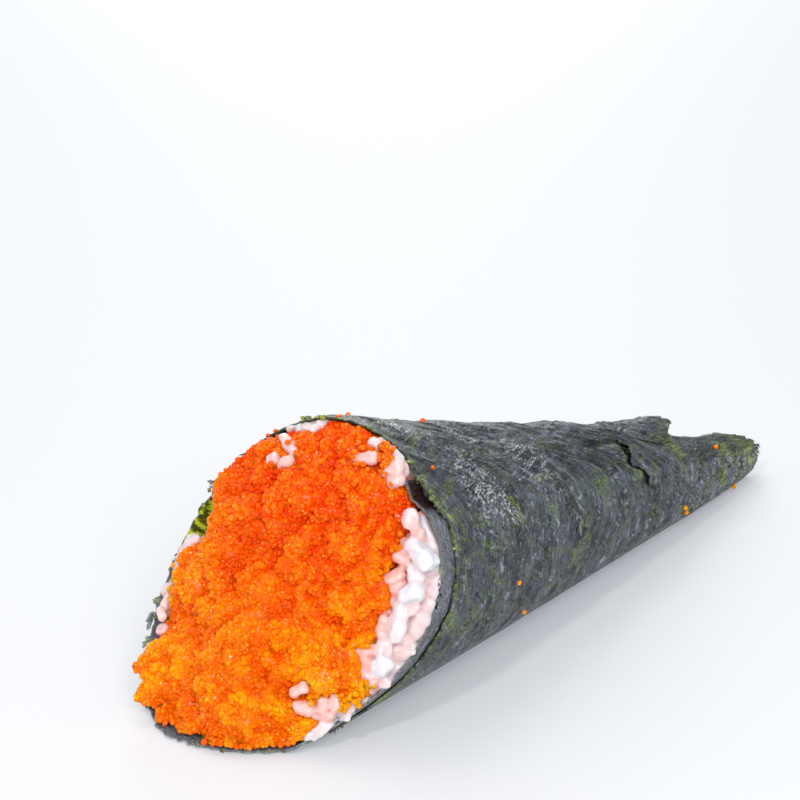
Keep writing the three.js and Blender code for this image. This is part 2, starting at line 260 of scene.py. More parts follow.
@dataclass(frozen=True)
class SheetLay:
    """How the seaweed sheet winds round the roll, by its turn from where it starts."""

    form: RollForm
    start: float = math.radians(35)
    total: float = math.radians(510)
    inner_end: float = math.radians(150)
    pitch: float = 1.0
    set_back: float = 5.0
    set_back_span: tuple[float, float] = (math.radians(295), math.radians(375))
    lead: float = math.radians(13)
    pocket_depth: float = 1.5
    pocket_at: float = math.radians(-6)
    pocket_half: float = math.radians(7.5)
    lap: float = 1.5
    lap_outer: float = 0.9
    lap_at: float = math.radians(41)
    lap_half: float = math.radians(9)
    pocket_length: float = 16.0
    raised: float = 0.66
    raised_length: float = 14.0
    tip_top: float = 4.5
    tip_left: float = 1.5
    opening_slope: float = 0.15
    apex_gap: float = 31.0
    top_slant: float = 34.0
    top_span: tuple[float, float] = (0.52, 1.75)
    side_slant: float = 9.0
    side_span: tuple[float, float] = (-0.9, 1.0)
    back_span: tuple[float, float] = (2.0, math.pi)
    layers_apart: float = 7.0

    def layer(self, turn: Array) -> Array:
        """Returns 1 on the inner layer and 0 on the outer one."""
        return 1.0 - np.clip((turn - self.inner_end) / (FULL_TURN - self.inner_end), 0.0, 1.0)

    def inner(self, turn: Array) -> Array:
        """Returns whether each turn is nearer to the inner layer."""
        return self.layer(turn) > 0.5

    def inset(self, turn: Array, y: Array) -> Array:
        """Works out how deep the sheet lies.

        Args:
            turn: The turn along the sheet.
            y: The place along the roll.

        Returns:
            How far its outer face lies inside the roll's outline.
        """
        layer = self.layer(turn)
        behind = np.maximum(0.0, y - self.form.mouth_y(1.0, self.start))
        lens = np.exp(-(((turn - self.pocket_at) / self.pocket_half) ** 2) - behind / self.pocket_length)
        near = layer * np.exp(-np.maximum(0.0, y - self.front(turn)) / self.raised_length)
        loose = (1.0 - layer + near) * self.form.ripple(self.start - turn, y)
        pocket = self.pocket_depth * lens * self.inner(turn)
        return self.pitch * layer - self.raised * near + pocket - loose

    def front(self, turn: Array) -> Array:
        """Works out the sheet's front edge, which comes forward a little by the pocket.

        Args:
            turn: The turn along the sheet.

        Returns:
            The edge's place along Y.
        """
        angle = self.start - turn
        near = np.exp(2.0 * (np.cos(angle - self.lap_at) - 1.0) / self.lap_half**2)
        lap = self.lap * (1.0 + self.lap_outer * (turn > math.pi)) * near
        return self.form.mouth_y(1.0, angle) + self.set_back * eased(turn, *self.set_back_span) - lap

    def end(self, turn: Array) -> Array:
        """Works out where the sheet ends at the tip.

        Args:
            turn: The turn along the sheet.

        Returns:
            The end's place along Y.
        """
        angle = self.start - turn
        left = (1.0 - np.cos(angle)) / 2.0
        foremost = self.form.tip_y - self.form.tip_front
        return foremost - self.tip_top * np.sin(angle) ** 2 - self.tip_left * left

    def unrolled(self, turn: Array, y: Array) -> Array:
        """Works out places on the flat sheet, before it was rolled.

        Args:
            turn: The turn along the sheet.
            y: The place along the roll.

        Returns:
            The places, flat in X and Y.
        """
        turn, y = np.broadcast_arrays(turn, y)
        reach = self.form.tip_y - y + self.apex_gap
        sweep = turn * self.opening_slope
        return np.stack([reach * np.cos(sweep), reach * np.sin(sweep), np.zeros_like(reach)], axis=-1)

    def folds(self, turn: Array, y: Array) -> Array:
        """Works out the coordinates that the folds follow: they slant on top and go round the sides.

        Args:
            turn: The turn along the sheet.
            y: The place along the roll.

        Returns:
            The coordinates across the folds, along them and from layer to layer.
        """
        turn, y = np.broadcast_arrays(turn, y)
        angle = self.start - turn
        wrapped = np.arctan2(np.sin(angle), np.cos(angle))
        slant = self.top_slant * (eased(wrapped, *self.top_span) - eased(wrapped, *self.back_span))
        side = eased(-wrapped, *self.side_span) - eased(-wrapped, *self.back_span)
        slant = slant + self.side_slant * side
        around = turn * (self.form.tip_y - y + self.apex_gap) * self.opening_slope
        return np.stack([y + slant, around, self.layers_apart * self.layer(turn)], axis=-1)


@dataclass(frozen=True)
class Strip:
    """A stretch of the mouth's border, with its middle and half width in degrees."""

    at: float
    half: float
    share: float
    whole: float = 0.4

    def part(self, angle: Array) -> Array:
        """Works out how much of the strip there is.

        Args:
            angle: The angle round the mouth.

        Returns:
            Its whole share in its middle, falling to none at its ends.
        """
        turn = angle - math.radians(self.at)
        apart = np.abs(np.arctan2(np.sin(turn), np.cos(turn)))
        return self.share * (1.0 - eased(apart / math.radians(self.half), self.whole, 1.0))


# The roe's border round the mouth: angles in degrees, and the share of the reach that it covers.
ROE_BORDER = (
    (-176, 0.72), (-172, 0.86), (-169, 0.93), (-160, 0.9), (-148, 0.87), (-140, 0.9), (-135, 1.0),
    (-129, 0.94), (-124, 1.0), (-117, 0.95), (-112, 1.0), (-105, 0.97), (-99, 1.0), (-92, 0.96),
    (-88, 1.0), (-81, 0.97), (-75, 1.0), (-69, 0.97), (-62, 1.0), (-56, 0.97), (-50, 0.96),
    (-39, 0.97), (-35, 0.84), (-32, 0.72), (-27, 0.77), (-17, 0.7), (-9, 0.75), (-1, 0.69),
    (7, 0.64), (13, 0.7), (19, 0.69), (26, 0.79), (38, 0.93), (47, 0.98), (60, 1.0), (108, 0.99),
    (120, 0.98), (143, 0.97), (152, 0.98), (165, 0.97), (170, 0.86), (174, 0.77), (180, 0.71),
)

# The heap's broad bulges: places across and up, radius and rise.
BULGES = (
    (17.0, 12.5, 4.2, 1.5), (12.5, 47.5, 2.4, 1.0), (-20.5, 5.5, 4.0, 1.2), (-24.0, 22.5, 2.4, 0.8),
    (-3.0, 20.0, 8.0, 1.0), (-12.0, 30.0, 6.0, 0.8), (8.0, 34.0, 5.0, 0.8), (0.0, 8.0, 6.0, 0.8),
)


@dataclass(frozen=True)
class FillForm:
    """The forms of rice and roe inside the rolled sheet."""

    lay: SheetLay
    sheet_thick: float = 0.5
    gap: float = 0.2
    taper_span: tuple[float, float] = (62.0, 78.0)
    taper_depth: float = 0.6
    taper_stations: tuple[float, ...] = (62.0, 46.0, 31.0, 16.0)
    rice_sink: float = 1.6
    roe_depth: float = 6.0
    crown: float = 4.0
    relief: float = 0.9
    strips: tuple[Strip, ...] = (
        Strip(-3, 44, 0.27), Strip(-50, 10, 0.2), Strip(62, 12, 0.12), Strip(117, 12, 0.22),
        Strip(199, 16, 0.18),
    )
    overhangs: tuple[Strip, ...] = (Strip(220, 34, 3.4), Strip(149, 25, 3.2), Strip(274, 34, 1.6))
    foremost: float = -87.2
    pocket_blend: float = 4.0
    rice_edge: float = 0.94
    strip_rise: float = 0.06
    step_width: float = 0.02
    border_reach: float = 1.045
    edge_slope: float = 0.8

    @property
    def form(self) -> RollForm:
        """The roll's form."""
        return self.lay.form

    def inset(self, angle: Array, y: Array) -> Array:
        """Works out how deep the filling's side lies.

        Args:
            angle: The angle round the roll.
            y: The place along it.

        Returns:
            How far it lies inside the roll's outline.
        """
        turn = np.mod(self.lay.start - angle, FULL_TURN)
        rippled = np.where(turn > self.lay.inner_end, self.form.wrinkle / 2.0, 0.0)
        own = self.lay.inset(turn, y) + rippled
        apart = np.abs(np.mod(turn - self.lay.pocket_at + math.pi, FULL_TURN) - math.pi)
        easing = 1.0 - eased(apart, self.lay.pocket_half, self.pocket_blend * self.lay.pocket_half)
        taper = self.taper_depth * (1.0 - eased(self.form.tip_y - y, *self.taper_span))
        start = self.lay.inset(np.full_like(turn, self.lay.pocket_at), y)
        return np.maximum(own, mixed(own, start, easing)) + self.sheet_thick + self.gap + taper

    def point(self, share: Array, angle: Array, y: Array) -> Array:
        """Finds points inside the filling's wall.

        Args:
            share: 0 on the cone's middle line and 1 at the wall.
            angle: The angle round the roll.
            y: The place along it.

        Returns:
            The points.
        """
        share, angle, y = np.broadcast_arrays(share, angle, y)
        middle = np.stack([np.zeros_like(y), y, self.form.height(y) / 2.0], axis=-1)
        wall = self.form.point(angle, y, self.inset(angle, y))
        return mixed(middle, wall, share[..., None])

    def rice_share(self, angle: Array) -> Array:
        """Returns the part of the mouth's reach that rice takes at an angle."""
        return np.max([strip.part(angle) for strip in self.strips], axis=0)

    def rice_step(self, angle: Array) -> Array:
        """Returns the share at which the rice steps up to its strips."""
        strip = self.rice_share(angle)
        return mixed(self.rice_edge, 1.0 - strip, eased(strip, 0.0, self.strip_rise))

    def rice_front(self, share: Array, angle: Array) -> Array:
        """Finds points of the rice's front.

        Args:
            share: 0 at the mouth's middle and 1 at its rim.
            angle: The angle round the mouth.

        Returns:
            The points.
        """
        step = self.rice_step(angle)
        on_strip = eased(self.rice_share(angle), self.strip_rise / 3.0, self.strip_rise)
        raised = on_strip * eased(share, step, step + self.step_width)
        behind = mixed(self.roe_depth, self.rice_sink, raised)
        return self.point(share, angle, self.form.mouth_y(share, angle) + behind)

    def roe_reach(self, angle: Array) -> Array:
        """Returns the share up to which the roe reaches at an angle."""
        degrees, shares = np.array(ROE_BORDER).T
        return np.interp(np.degrees(angle), degrees, shares, period=360.0)

    def roe_surface(self, x: Array, z: Array) -> Array:
        """Works out how far forward the heap comes.

        Args:
            x: Places across the mouth.
            z: Places up.

        Returns:
            The heap's places along Y, far back where there is no roe.
        """
        share, angle = from_middle(self.form, x, mouth_point(self.form, x, z)[:, 1], z)
        share = share * self.border_reach
        return np.where(share < self.roe_reach(angle), self.roe_front(share, angle)[:, 1], self.form.tip_y)

    def roe_front(self, share: Array, angle: Array) -> Array:
        """Finds points of the heap's front, with its crown, lumps and overhang.

        Args:
            share: 0 at the mouth's middle and 1 at its rim.
            angle: The angle round the mouth.

        Returns:
            The points.
        """
        share, angle = np.broadcast_arrays(share, angle)
        flat = self.point(share, angle, self.form.mouth_y(share, angle))
        x, y, z = flat[..., 0], flat[..., 1], flat[..., 2]
        coarse = np.sin(x / 3.1 + 1.2 * np.sin(z / 4.3)) * np.sin(z / 3.6 + 0.7)
        fine = np.sin(x / 1.3 + z / 2.1) * np.sin(z / 1.1 - x / 2.9 + 2.0)
        lumps = (1.0 - share**6) * self.relief * (0.6 * coarse + 0.4 * fine)
        bulge = sum(
            rise * np.exp(-((x - at_x) ** 2 + (z - at_z) ** 2) / radius**2)
            for at_x, at_z, radius, rise in BULGES
        )
        edge = (self.edge_slope - sum(strip.part(angle) for strip in self.overhangs)) * share**8
        front = y - self.crown * (1.0 - share**3) - lumps - bulge + edge
        return self.point(share, angle, np.maximum(front, self.foremost))


def linked(name: str, data: bpy.types.ID) -> Piece:
    """Makes an object for its data and puts it into the scene.

    Args:
        name: The object's name.
        data: Its mesh, light or camera.

    Returns:
        The object.
    """
    obj = bpy.data.objects.new(name, data)
    bpy.context.scene.collection.objects.link(obj)
    return obj


def points_of(piece: Piece) -> Array:
    """Reads a mesh's points.

    Args:
        piece: The object.

    Returns:
        Its points in metres, a row each.
    """
    points = np.empty(len(piece.data.vertices) * 3, dtype=np.float32)
    piece.data.vertices.foreach_get("co", points)
    return points.reshape(-1, 3)


def move_points(piece: Piece, points: Array) -> None:
    """Gives a mesh's points their new places, in metres."""
    piece.data.vertices.foreach_set("co", points.astype(np.float32).ravel())
    piece.data.update()


@dataclass
class GridMesh:
    """Points and faces of a mesh in the making, with values kept at its points."""

    points: Array
    faces: list[tuple[int, ...]]
    values: Values = field(default_factory=dict)

    def piece(self, name: str) -> Piece:
        """Makes the Blender object.

        Args:
            name: The piece's name.

        Returns:
            The object, at the origin, in metres.
        """
        mesh = bpy.data.meshes.new(name)
        mesh.from_pydata((self.points * MM).tolist(), [], self.faces)
        for key, value in self.values.items():
            flat = np.asarray(value, dtype=np.float32)
            kind, part = ("FLOAT", "value") if flat.ndim == 1 else ("FLOAT_VECTOR", "vector")
            mesh.attributes.new(key, kind, "POINT").data.foreach_set(part, flat.ravel())
        mesh.update()
        return linked(name, mesh)


def thin_solid(outer: Array, inner: Array, values: Values, inner_values: Values) -> GridMesh:
    """Closes two like grids of points into a thin solid.

    Args:
        outer: The outer face's points, columns by rows by three.
        inner: The inner face's points, in the same layout.
        values: Values at the grid's points.
        inner_values: Values that the inner face has instead.

    Returns:
        The mesh.
    """
    columns, rows = outer.shape[0], outer.shape[1]
    points = np.concatenate([outer.reshape(-1, 3), inner.reshape(-1, 3)])
    place = np.arange(columns * rows).reshape(columns, rows)
    back = place + columns * rows
    faces = []

    def band(a: Array, b: Array, c: Array, d: Array) -> None:
        """Adds the quads whose four corners are given."""
        faces.extend(zip(a.ravel().tolist(), b.ravel().tolist(), c.ravel().tolist(), d.ravel().tolist()))

    band(place[:-1, :-1], place[1:, :-1], place[1:, 1:], place[:-1, 1:])
    band(back[:-1, :-1], back[:-1, 1:], back[1:, 1:], back[1:, :-1])
    band(place[:-1, 0], back[:-1, 0], back[1:, 0], place[1:, 0])
    band(place[:-1, -1], place[1:, -1], back[1:, -1], back[:-1, -1])
    band(place[0, :-1], place[0, 1:], back[0, 1:], back[0, :-1])
    band(place[-1, :-1], back[-1, :-1], back[-1, 1:], place[-1, 1:])
    both = {}
    for key, value in values.items():
        pair = [np.broadcast_to(part, value.shape) for part in (value, inner_values.get(key, value))]
        both[key] = np.concatenate([part.reshape(-1, *value.shape[2:]) for part in pair])
    return GridMesh(points, faces, both)


def ringed_solid(first: Array, rings: list[Array], last: Array) -> GridMesh:
    """Closes rings of points into a solid with a point at either end.

    Args:
        first: The point before the first ring.
        rings: The rings, each a list of points with the same count.
        last: The point after the last ring.

    Returns:
        The mesh.
    """
    sides = len(rings[0])
    points = np.concatenate([first.reshape(1, 3), *rings, last.reshape(1, 3)])
    place = 1 + np.arange(len(rings) * sides).reshape(len(rings), sides)
    after = np.roll(place, -1, axis=1)
    end = len(points) - 1
    faces = [(0, int(a), int(b)) for a, b in zip(place[0], after[0])]
    for near, near_after, far, far_after in zip(place[:-1], after[:-1], place[1:], after[1:]):
        faces.extend(zip(near.tolist(), far.tolist(), far_after.tolist(), near_after.tolist()))
    faces.extend((int(a), end, int(b)) for a, b in zip(place[-1], after[-1]))
    return GridMesh(points, faces)


class Net:
    """Adds nodes to a tree and wires them."""

    def __init__(self, tree: Tree) -> None:
        """Keeps the tree.

        Args:
            tree: The tree that the nodes go into.
        """
        self.tree = tree

    def add(
        self, kind: str, inputs: Named | None = None, settings: Named | None = None
    ) -> bpy.types.Node:
        """Adds a node.

        Args:
            kind: Blender's name for the kind of node.
            inputs: Values or sockets for its inputs, by name or number.
            settings: Its own settings.

        Returns:
            The node.
        """
        node = self.tree.nodes.new(kind)
        for name, value in (settings or {}).items():
            setattr(node, name, value)
        for key, value in (inputs or {}).items():
            if isinstance(value, Socket):
                self.tree.links.new(value, node.inputs[key])
            else:
                node.inputs[key].default_value = value
        return node

    def first(
        self, kind: str, inputs: Named | None = None, settings: Named | None = None
    ) -> Socket:
        """Adds a node and returns its first output."""
        return self.add(kind, inputs, settings).outputs[0]

    def math(self, operation: str, a: object, b: object = 0.0, clamp: bool = False) -> Socket:
        """Returns the result of a sum on two numbers."""
        return self.first("ShaderNodeMath", {0: a, 1: b}, {"operation": operation, "use_clamp": clamp})

    def scaled(self, vector: Socket, factor: object) -> Socket:
        """Returns the vector times a factor."""
        return self.first("ShaderNodeVectorMath", {0: vector, "Scale": factor}, {"operation": "SCALE"})

    def stretched(self, vector: Socket, factors: tuple[float, float, float]) -> Socket:
        """Returns the vector with each part times its own factor."""
        return self.first("ShaderNodeVectorMath", {0: vector, 1: factors}, {"operation": "MULTIPLY"})

    def step(self, value: Socket, low: float, high: float, start: float = 0.0, end: float = 1.0) -> Socket:
        """Returns a smooth step from start to end as the value goes from low to high."""
        wires = {0: value, 1: low, 2: high, 3: start, 4: end}
        return self.first("ShaderNodeMapRange", wires, {"interpolation_type": "SMOOTHSTEP"})

    def noise(
        self, vector: Socket, scale: float, detail: float = 3.0, seed: object = 0.0, warp: float = 0.0
    ) -> Socket:
        """Returns a noise from 0 to 1."""
        wires = {"Vector": vector, "W": seed, "Scale": scale, "Detail": detail, "Distortion": warp}
        return self.first("ShaderNodeTexNoise", wires, {"noise_dimensions": "4D"})

    def cells(self, vector: Socket, scale: float, smooth: float) -> Socket:
        """Returns the distance from the nearest of scattered cell middles."""
        wires = {"Vector": vector, "Scale": scale, "Smoothness": smooth}
        return self.add("ShaderNodeTexVoronoi", wires, {"feature": "SMOOTH_F1"}).outputs["Distance"]

    def line(self, value: Socket, half: float) -> Socket:
        """Returns thin lines, 1 along the middle of a noise and 0 from half away."""
        return self.step(self.math("ABSOLUTE", self.math("SUBTRACT", value, 0.5)), 0.0, half, 1.0, 0.0)

    def product(self, *parts: object) -> Socket:
        """Returns the product of some numbers."""
        return reduce(lambda result, part: self.math("MULTIPLY", result, part), parts)

    def total(self, *parts: object) -> Socket:
        """Returns the sum of some numbers."""
        return reduce(lambda result, part: self.math("ADD", result, part), parts)


class FinishNet(Net):
    """The nodes of one material, ending in a Principled BSDF."""

    def __init__(self, name: str) -> None:
        """Makes the material.

        Args:
            name: The material's name.
        """
        self.material = bpy.data.materials.new(name)
        self.material.use_nodes = True
        super().__init__(self.material.node_tree)
        self.shader = next(node for node in self.tree.nodes if node.type == "BSDF_PRINCIPLED")

    def value(self, name: str) -> Socket:
        """Returns a value kept at the piece's points."""
        return self.add("ShaderNodeAttribute", settings={"attribute_name": name}).outputs["Fac"]

    def vector(self, name: str) -> Socket:
        """Returns a vector kept at the piece's points."""
        return self.add("ShaderNodeAttribute", settings={"attribute_name": name}).outputs["Vector"]

    def place(self) -> Socket:
        """Returns the place on the object, in millimetres."""
        return self.scaled(self.add("ShaderNodeTexCoord").outputs["Object"], 1.0 / MM)

    def blend(self, share: Socket, a: Colour | Socket, b: Colour | Socket) -> Socket:
        """Returns a colour between two, by a share."""
        wires = {0: share, 6: self.opaque(a), 7: self.opaque(b)}
        return self.add("ShaderNodeMix", wires, {"data_type": "RGBA"}).outputs[2]

    @staticmethod
    def opaque(colour: Colour | Socket) -> object:
        """Returns the colour as a socket takes it."""
        return colour if isinstance(colour, Socket) else (*colour, 1.0)

    def bump(self, height: Socket, distance: float, strength: float) -> None:
        """Gives the surface a fine relief.

        Args:
            height: The relief's height, from 0 to 1.
            distance: How high that is, in millimetres.
            strength: How much of it shows.
        """
        wires = {"Height": height, "Distance": distance * MM, "Strength": strength}
        self.tree.links.new(self.first("ShaderNodeBump", wires), self.shader.inputs["Normal"])

    def dress(self, inputs: dict[str, object]) -> Material:
        """Sets the shader's own inputs.

        Args:
            inputs: Values or sockets by the input's name.

        Returns:
            The material.
        """
        for name, value in inputs.items():
            if isinstance(value, Socket):
                self.tree.links.new(value, self.shader.inputs[name])
            else:
                self.shader.inputs[name].default_value = value
        return self.material


class Draw(Enum):
    """What is drawn at random for a strewn shape, with what each draw adds to the tree's seed."""

    KIND = 11
    TONE = 23
    RISE = 31
    SPIN = 47
    SIZE = 61


class ShapeNet(Net):
    """The nodes of one Geometry Nodes tree, from its named inputs to its one result."""

    def __init__(self, name: str, inputs: dict[str, object]) -> None:
        """Makes the tree with its inputs, to which it adds "Geometry" and "Finish".

        Args:
            name: The tree's name.
            inputs: Each input's first value by name, or its type where it takes an object.
        """
        super().__init__(bpy.data.node_groups.new(name, "GeometryNodeTree"))
        faces = self.tree.interface
        faces.new_socket(name="Geometry", in_out="INPUT", socket_type="NodeSocketGeometry")
        faces.new_socket(name="Geometry", in_out="OUTPUT", socket_type="NodeSocketGeometry")
        kinds = {float: "Float", int: "Int", tuple: "Vector", Piece: "Object"}
        for key, value in inputs.items():
            taken = kinds.get(value) or kinds[type(value)]
            socket = faces.new_socket(name=key, in_out="INPUT", socket_type=f"NodeSocket{taken}")
            if value is not Piece:
                socket.default_value = value
        faces.new_socket(name="Finish", in_out="INPUT", socket_type="NodeSocketMaterial")
        self.given = self.add("NodeGroupInput").outputs

    def value(self, name: str) -> Socket:
        """Returns a number kept at the points."""
        return self.first("GeometryNodeInputNamedAttribute", {"Name": name}, {"data_type": "FLOAT"})

    def vector(self, name: str) -> Socket:
        """Returns a vector kept at the points."""
        return self.first("GeometryNodeInputNamedAttribute", {"Name": name}, {"data_type": "FLOAT_VECTOR"})

    def keep(self, geometry: Socket, name: str, value: Socket, kind: str = "FLOAT") -> Socket:
        """Keeps a value at the points and returns the geometry."""
        wires = {"Geometry": geometry, "Name": name, "Value": value}
        return self.first("GeometryNodeStoreNamedAttribute", wires, {"data_type": kind})

    def chance(self, draw: Draw, low: object, high: object, kind: str = "FLOAT") -> Socket:
        """Draws a random value for each point.

        Args:
            draw: What is drawn.
            low: The lowest value.
            high: The highest value.
            kind: What kind of value it is.

        Returns:
            The value.
        """
        result = ("FLOAT_VECTOR", "FLOAT", "INT").index(kind)
        own = self.math("ADD", self.given["Seed"], float(draw.value))
        wires = {2 * result: low, 2 * result + 1: high, "Seed": own}
        return self.add("FunctionNodeRandomValue", wires, {"data_type": kind}).outputs[result]

    def lumpy(self, geometry: Socket) -> Socket:
        """Makes laid shapes real and uneven, as deep as the tree's "Lumps".

        Args:
            geometry: The laid shapes.

        Returns:
            The uneven ones.
        """
        real = self.first("GeometryNodeRealizeInstances", {"Geometry": geometry})
        spot = self.scaled(self.first("GeometryNodeInputPosition"), 1.0 / MM)
        uneven = self.math("SUBTRACT", self.noise(spot, 1 / 1.7, 1.0, 6.0), 0.5)
        depth = self.math("MULTIPLY", uneven, self.given["Lumps"])
        offset = self.scaled(self.first("GeometryNodeInputNormal"), depth)
        return self.first("GeometryNodeSetPosition", {"Geometry": real, "Offset": offset})

    def finish(self, geometry: Socket) -> Tree:
        """Makes everything real, gives it its finish and closes the tree.

        Args:
            geometry: What the tree has made.

        Returns:
            The tree.
        """
        real = self.first("GeometryNodeRealizeInstances", {"Geometry": geometry})
        wires = {"Geometry": real, "Material": self.given["Finish"]}
        dressed = self.first("GeometryNodeSetMaterial", wires)
        self.add("NodeGroupOutput", {"Geometry": dressed})
        return self.tree


def grown(source: Piece, tree: Tree, name: str, values: dict[str, object]) -> Piece:
    """Runs a tree on an object and keeps the result as a plain mesh.

    Args:
        source: The object that the tree starts from. It is removed.
        tree: The tree.
        name: The new piece's name.
        values: The tree's inputs, by name. Objects among them are removed.

    Returns:
        The new object, without a modifier.
    """
    modifier = source.modifiers.new("form", "NODES")
    modifier.node_group = tree
    for item in tree.interface.items_tree:
        if item.item_type == "SOCKET" and item.in_out == "INPUT" and item.name in values:
            modifier[item.identifier] = values[item.name]
    graph = bpy.context.evaluated_depsgraph_get()
    shown = source.evaluated_get(graph)
    mesh = bpy.data.meshes.new_from_object(shown, preserve_all_data_layers=True, depsgraph=graph)
    source.modifiers.remove(modifier)
    for used in (source, *(value for value in values.values() if isinstance(value, Piece))):
        bpy.data.objects.remove(used)
    mesh.name = name
    return linked(name, mesh)


def wrinkle_tree() -> Tree:
    """Builds the tree that gives a rolled sheet its folds and wrinkles.

    Returns:
        The tree. It moves each point along its "out" by noises on the "folds" coordinates.
    """
    net = ShapeNet("wrinkled_sheet", {"Fold depth": 0.0006, "Wrinkle depth": 0.0003, "Seed": 3.0})
    folds = net.vector("folds")
    seed = net.given["Seed"]
    long = net.noise(net.stretched(folds, (1 / 6.5, 1 / 30.0, 1.0)), 1.0, 2.0, seed, 0.5)
    short = net.noise(net.stretched(folds, (1 / 3.2, 1 / 11.0, 1.0)), 1.0, 2.0, seed, 0.8)
    creased = net.math("ABSOLUTE", net.math("SUBTRACT", short, 0.5))
    fold = net.math("MULTIPLY", net.math("SUBTRACT", long, 0.46), net.given["Fold depth"])
    wrinkle = net.math("MULTIPLY", net.math("SUBTRACT", 0.1, creased), net.given["Wrinkle depth"])
    lift = net.math("MULTIPLY", net.math("ADD", fold, wrinkle), net.value("loose"))
    offset = net.scaled(net.vector("out"), lift)
    moved = net.first("GeometryNodeSetPosition", {"Geometry": net.given["Geometry"], "Offset": offset})
    return net.finish(moved)


def heap_tree() -> Tree:
    """Builds the tree that breaks the roe's smooth heap into lumps and crevices.

    Returns:
        The tree. It keeps how deep each point lies between the lumps as "valley".
    """
    net = ShapeNet("lumpy_heap", {"Clump": 0.0014, "Knob": 0.0007, "Crevice": 0.0011})
    spot = net.scaled(net.first("GeometryNodeInputPosition"), 1.0 / MM)
    bend = net.add("ShaderNodeTexNoise", {"Vector": spot, "Scale": 0.26, "Detail": 3.0}).outputs["Color"]
    centred = net.first("ShaderNodeVectorMath", {0: bend, 1: (0.5, 0.5, 0.5)}, {"operation": "SUBTRACT"})
    warped = net.first("ShaderNodeVectorMath", {0: spot, 1: net.scaled(centred, 7.0)}, {"operation": "ADD"})
    clumps = net.cells(warped, 1 / 5.4, 0.05)
    knobs = net.cells(warped, 1 / 2.5, 0.05)
    domes = [net.math("SUBTRACT", 0.25, net.math("POWER", cells, 2.0)) for cells in (clumps, knobs)]
    clump = net.math("MULTIPLY", domes[0], net.given["Clump"])
    knob = net.math("MULTIPLY", domes[1], net.given["Knob"])
    crevice = net.math("MULTIPLY", net.value("crevice"), net.given["Crevice"])
    height = net.math("SUBTRACT", net.math("ADD", clump, knob), crevice)
    normal = net.first("GeometryNodeInputNormal")
    offset = net.scaled(normal, net.math("MULTIPLY", height, net.value("swell")))
    low = net.total(net.step(clumps, 0.4, 0.7, 0.0, 0.8), net.step(knobs, 0.42, 0.72, 0.0, 0.5))
    valley = net.math("ADD", low, net.value("crevice"), clamp=True)
    kept = net.keep(net.given["Geometry"], "valley", valley)
    moved = net.first("GeometryNodeSetPosition", {"Geometry": kept, "Offset": offset})
    return net.finish(moved)


def scatter_tree() -> Tree:
    """Builds the tree that strews one shape over a surface.

    Returns:
        The tree. It covers the surface where its "cover" is above 0, and keeps a random "tone".
    """
    inputs = {
        "Shape": Piece,
        "Size": (0.001, 0.001, 0.001),
        "Spacing": 0.001,
        "Density": 1e6,
        "Uneven": 0.15,
        "Lowest": 0.0,
        "Highest": 0.0,
        "Tilt": 0.3,
        "Kinds": 1,
        "Kind": 0,
        "Lumps": 0.0,
        "Seed": 1,
    }
    net = ShapeNet("strewn", inputs)
    given = net.given
    wires = {
        "Mesh": given["Geometry"],
        "Distance Min": given["Spacing"],
        "Density Max": given["Density"],
        "Density Factor": net.value("cover"),
        "Seed": given["Seed"],
    }
    strewn = net.add("GeometryNodeDistributePointsOnFaces", wires, {"distribute_method": "POISSON"})
    last = net.math("SUBTRACT", given["Kinds"], 1.0)
    kind = net.chance(Draw.KIND, 0, last, "INT")
    unlike = {"data_type": "INT", "operation": "NOT_EQUAL"}
    other = net.first("FunctionNodeCompare", {2: kind, 3: given["Kind"]}, unlike)
    chosen = {"Geometry": strewn.outputs["Points"], "Selection": other}
    kept = net.first("GeometryNodeDeleteGeometry", chosen)
    toned = net.keep(kept, "tone", net.chance(Draw.TONE, 0.0, 1.0))
    rise = net.chance(Draw.RISE, given["Lowest"], given["Highest"])
    wires = {"Geometry": toned, "Offset": net.scaled(strewn.outputs["Normal"], rise)}
    raised = net.first("GeometryNodeSetPosition", wires)
    down = net.math("MULTIPLY", given["Tilt"], -1.0)
    least = net.first("ShaderNodeCombineXYZ", {0: down, 1: down, 2: 0.0})
    most = net.first("ShaderNodeCombineXYZ", {0: given["Tilt"], 1: given["Tilt"], 2: FULL_TURN})
    spin = net.chance(Draw.SPIN, least, most, "FLOAT_VECTOR")
    spun = net.first("FunctionNodeEulerToRotation", {0: spin})
    turn = net.add(
        "FunctionNodeRotateRotation",
        {"Rotation": strewn.outputs["Rotation"], "Rotate By": spun},
        {"rotation_space": "LOCAL"},
    ).outputs[0]
    small = net.math("SUBTRACT", 1.0, given["Uneven"])
    large = net.math("ADD", 1.0, given["Uneven"])
    share = net.chance(Draw.SIZE, small, large)
    shape = net.add("GeometryNodeObjectInfo", {"Object": given["Shape"]}).outputs["Geometry"]
    wires = {"Points": raised, "Instance": shape, "Rotation": turn, "Scale": net.scaled(given["Size"], share)}
    return net.finish(net.lumpy(net.first("GeometryNodeInstanceOnPoints", wires)))


def placed_tree() -> Tree:
    """Builds the tree that lays one shape at each point of a mesh.

    Returns:
        The tree. It reads the shape's long direction from "axis" and its size from "size".
    """
    net = ShapeNet("laid", {"Shape": Piece, "Lumps": 0.0})
    turn = net.first("FunctionNodeAlignRotationToVector", {"Vector": net.vector("axis")}, {"axis": "Y"})
    shape = net.add("GeometryNodeObjectInfo", {"Object": net.given["Shape"]}).outputs["Geometry"]
    wires = {"Points": net.given["Geometry"], "Instance": shape, "Rotation": turn}
    laid = net.first("GeometryNodeInstanceOnPoints", wires | {"Scale": net.vector("size")})
    return net.finish(net.lumpy(laid))


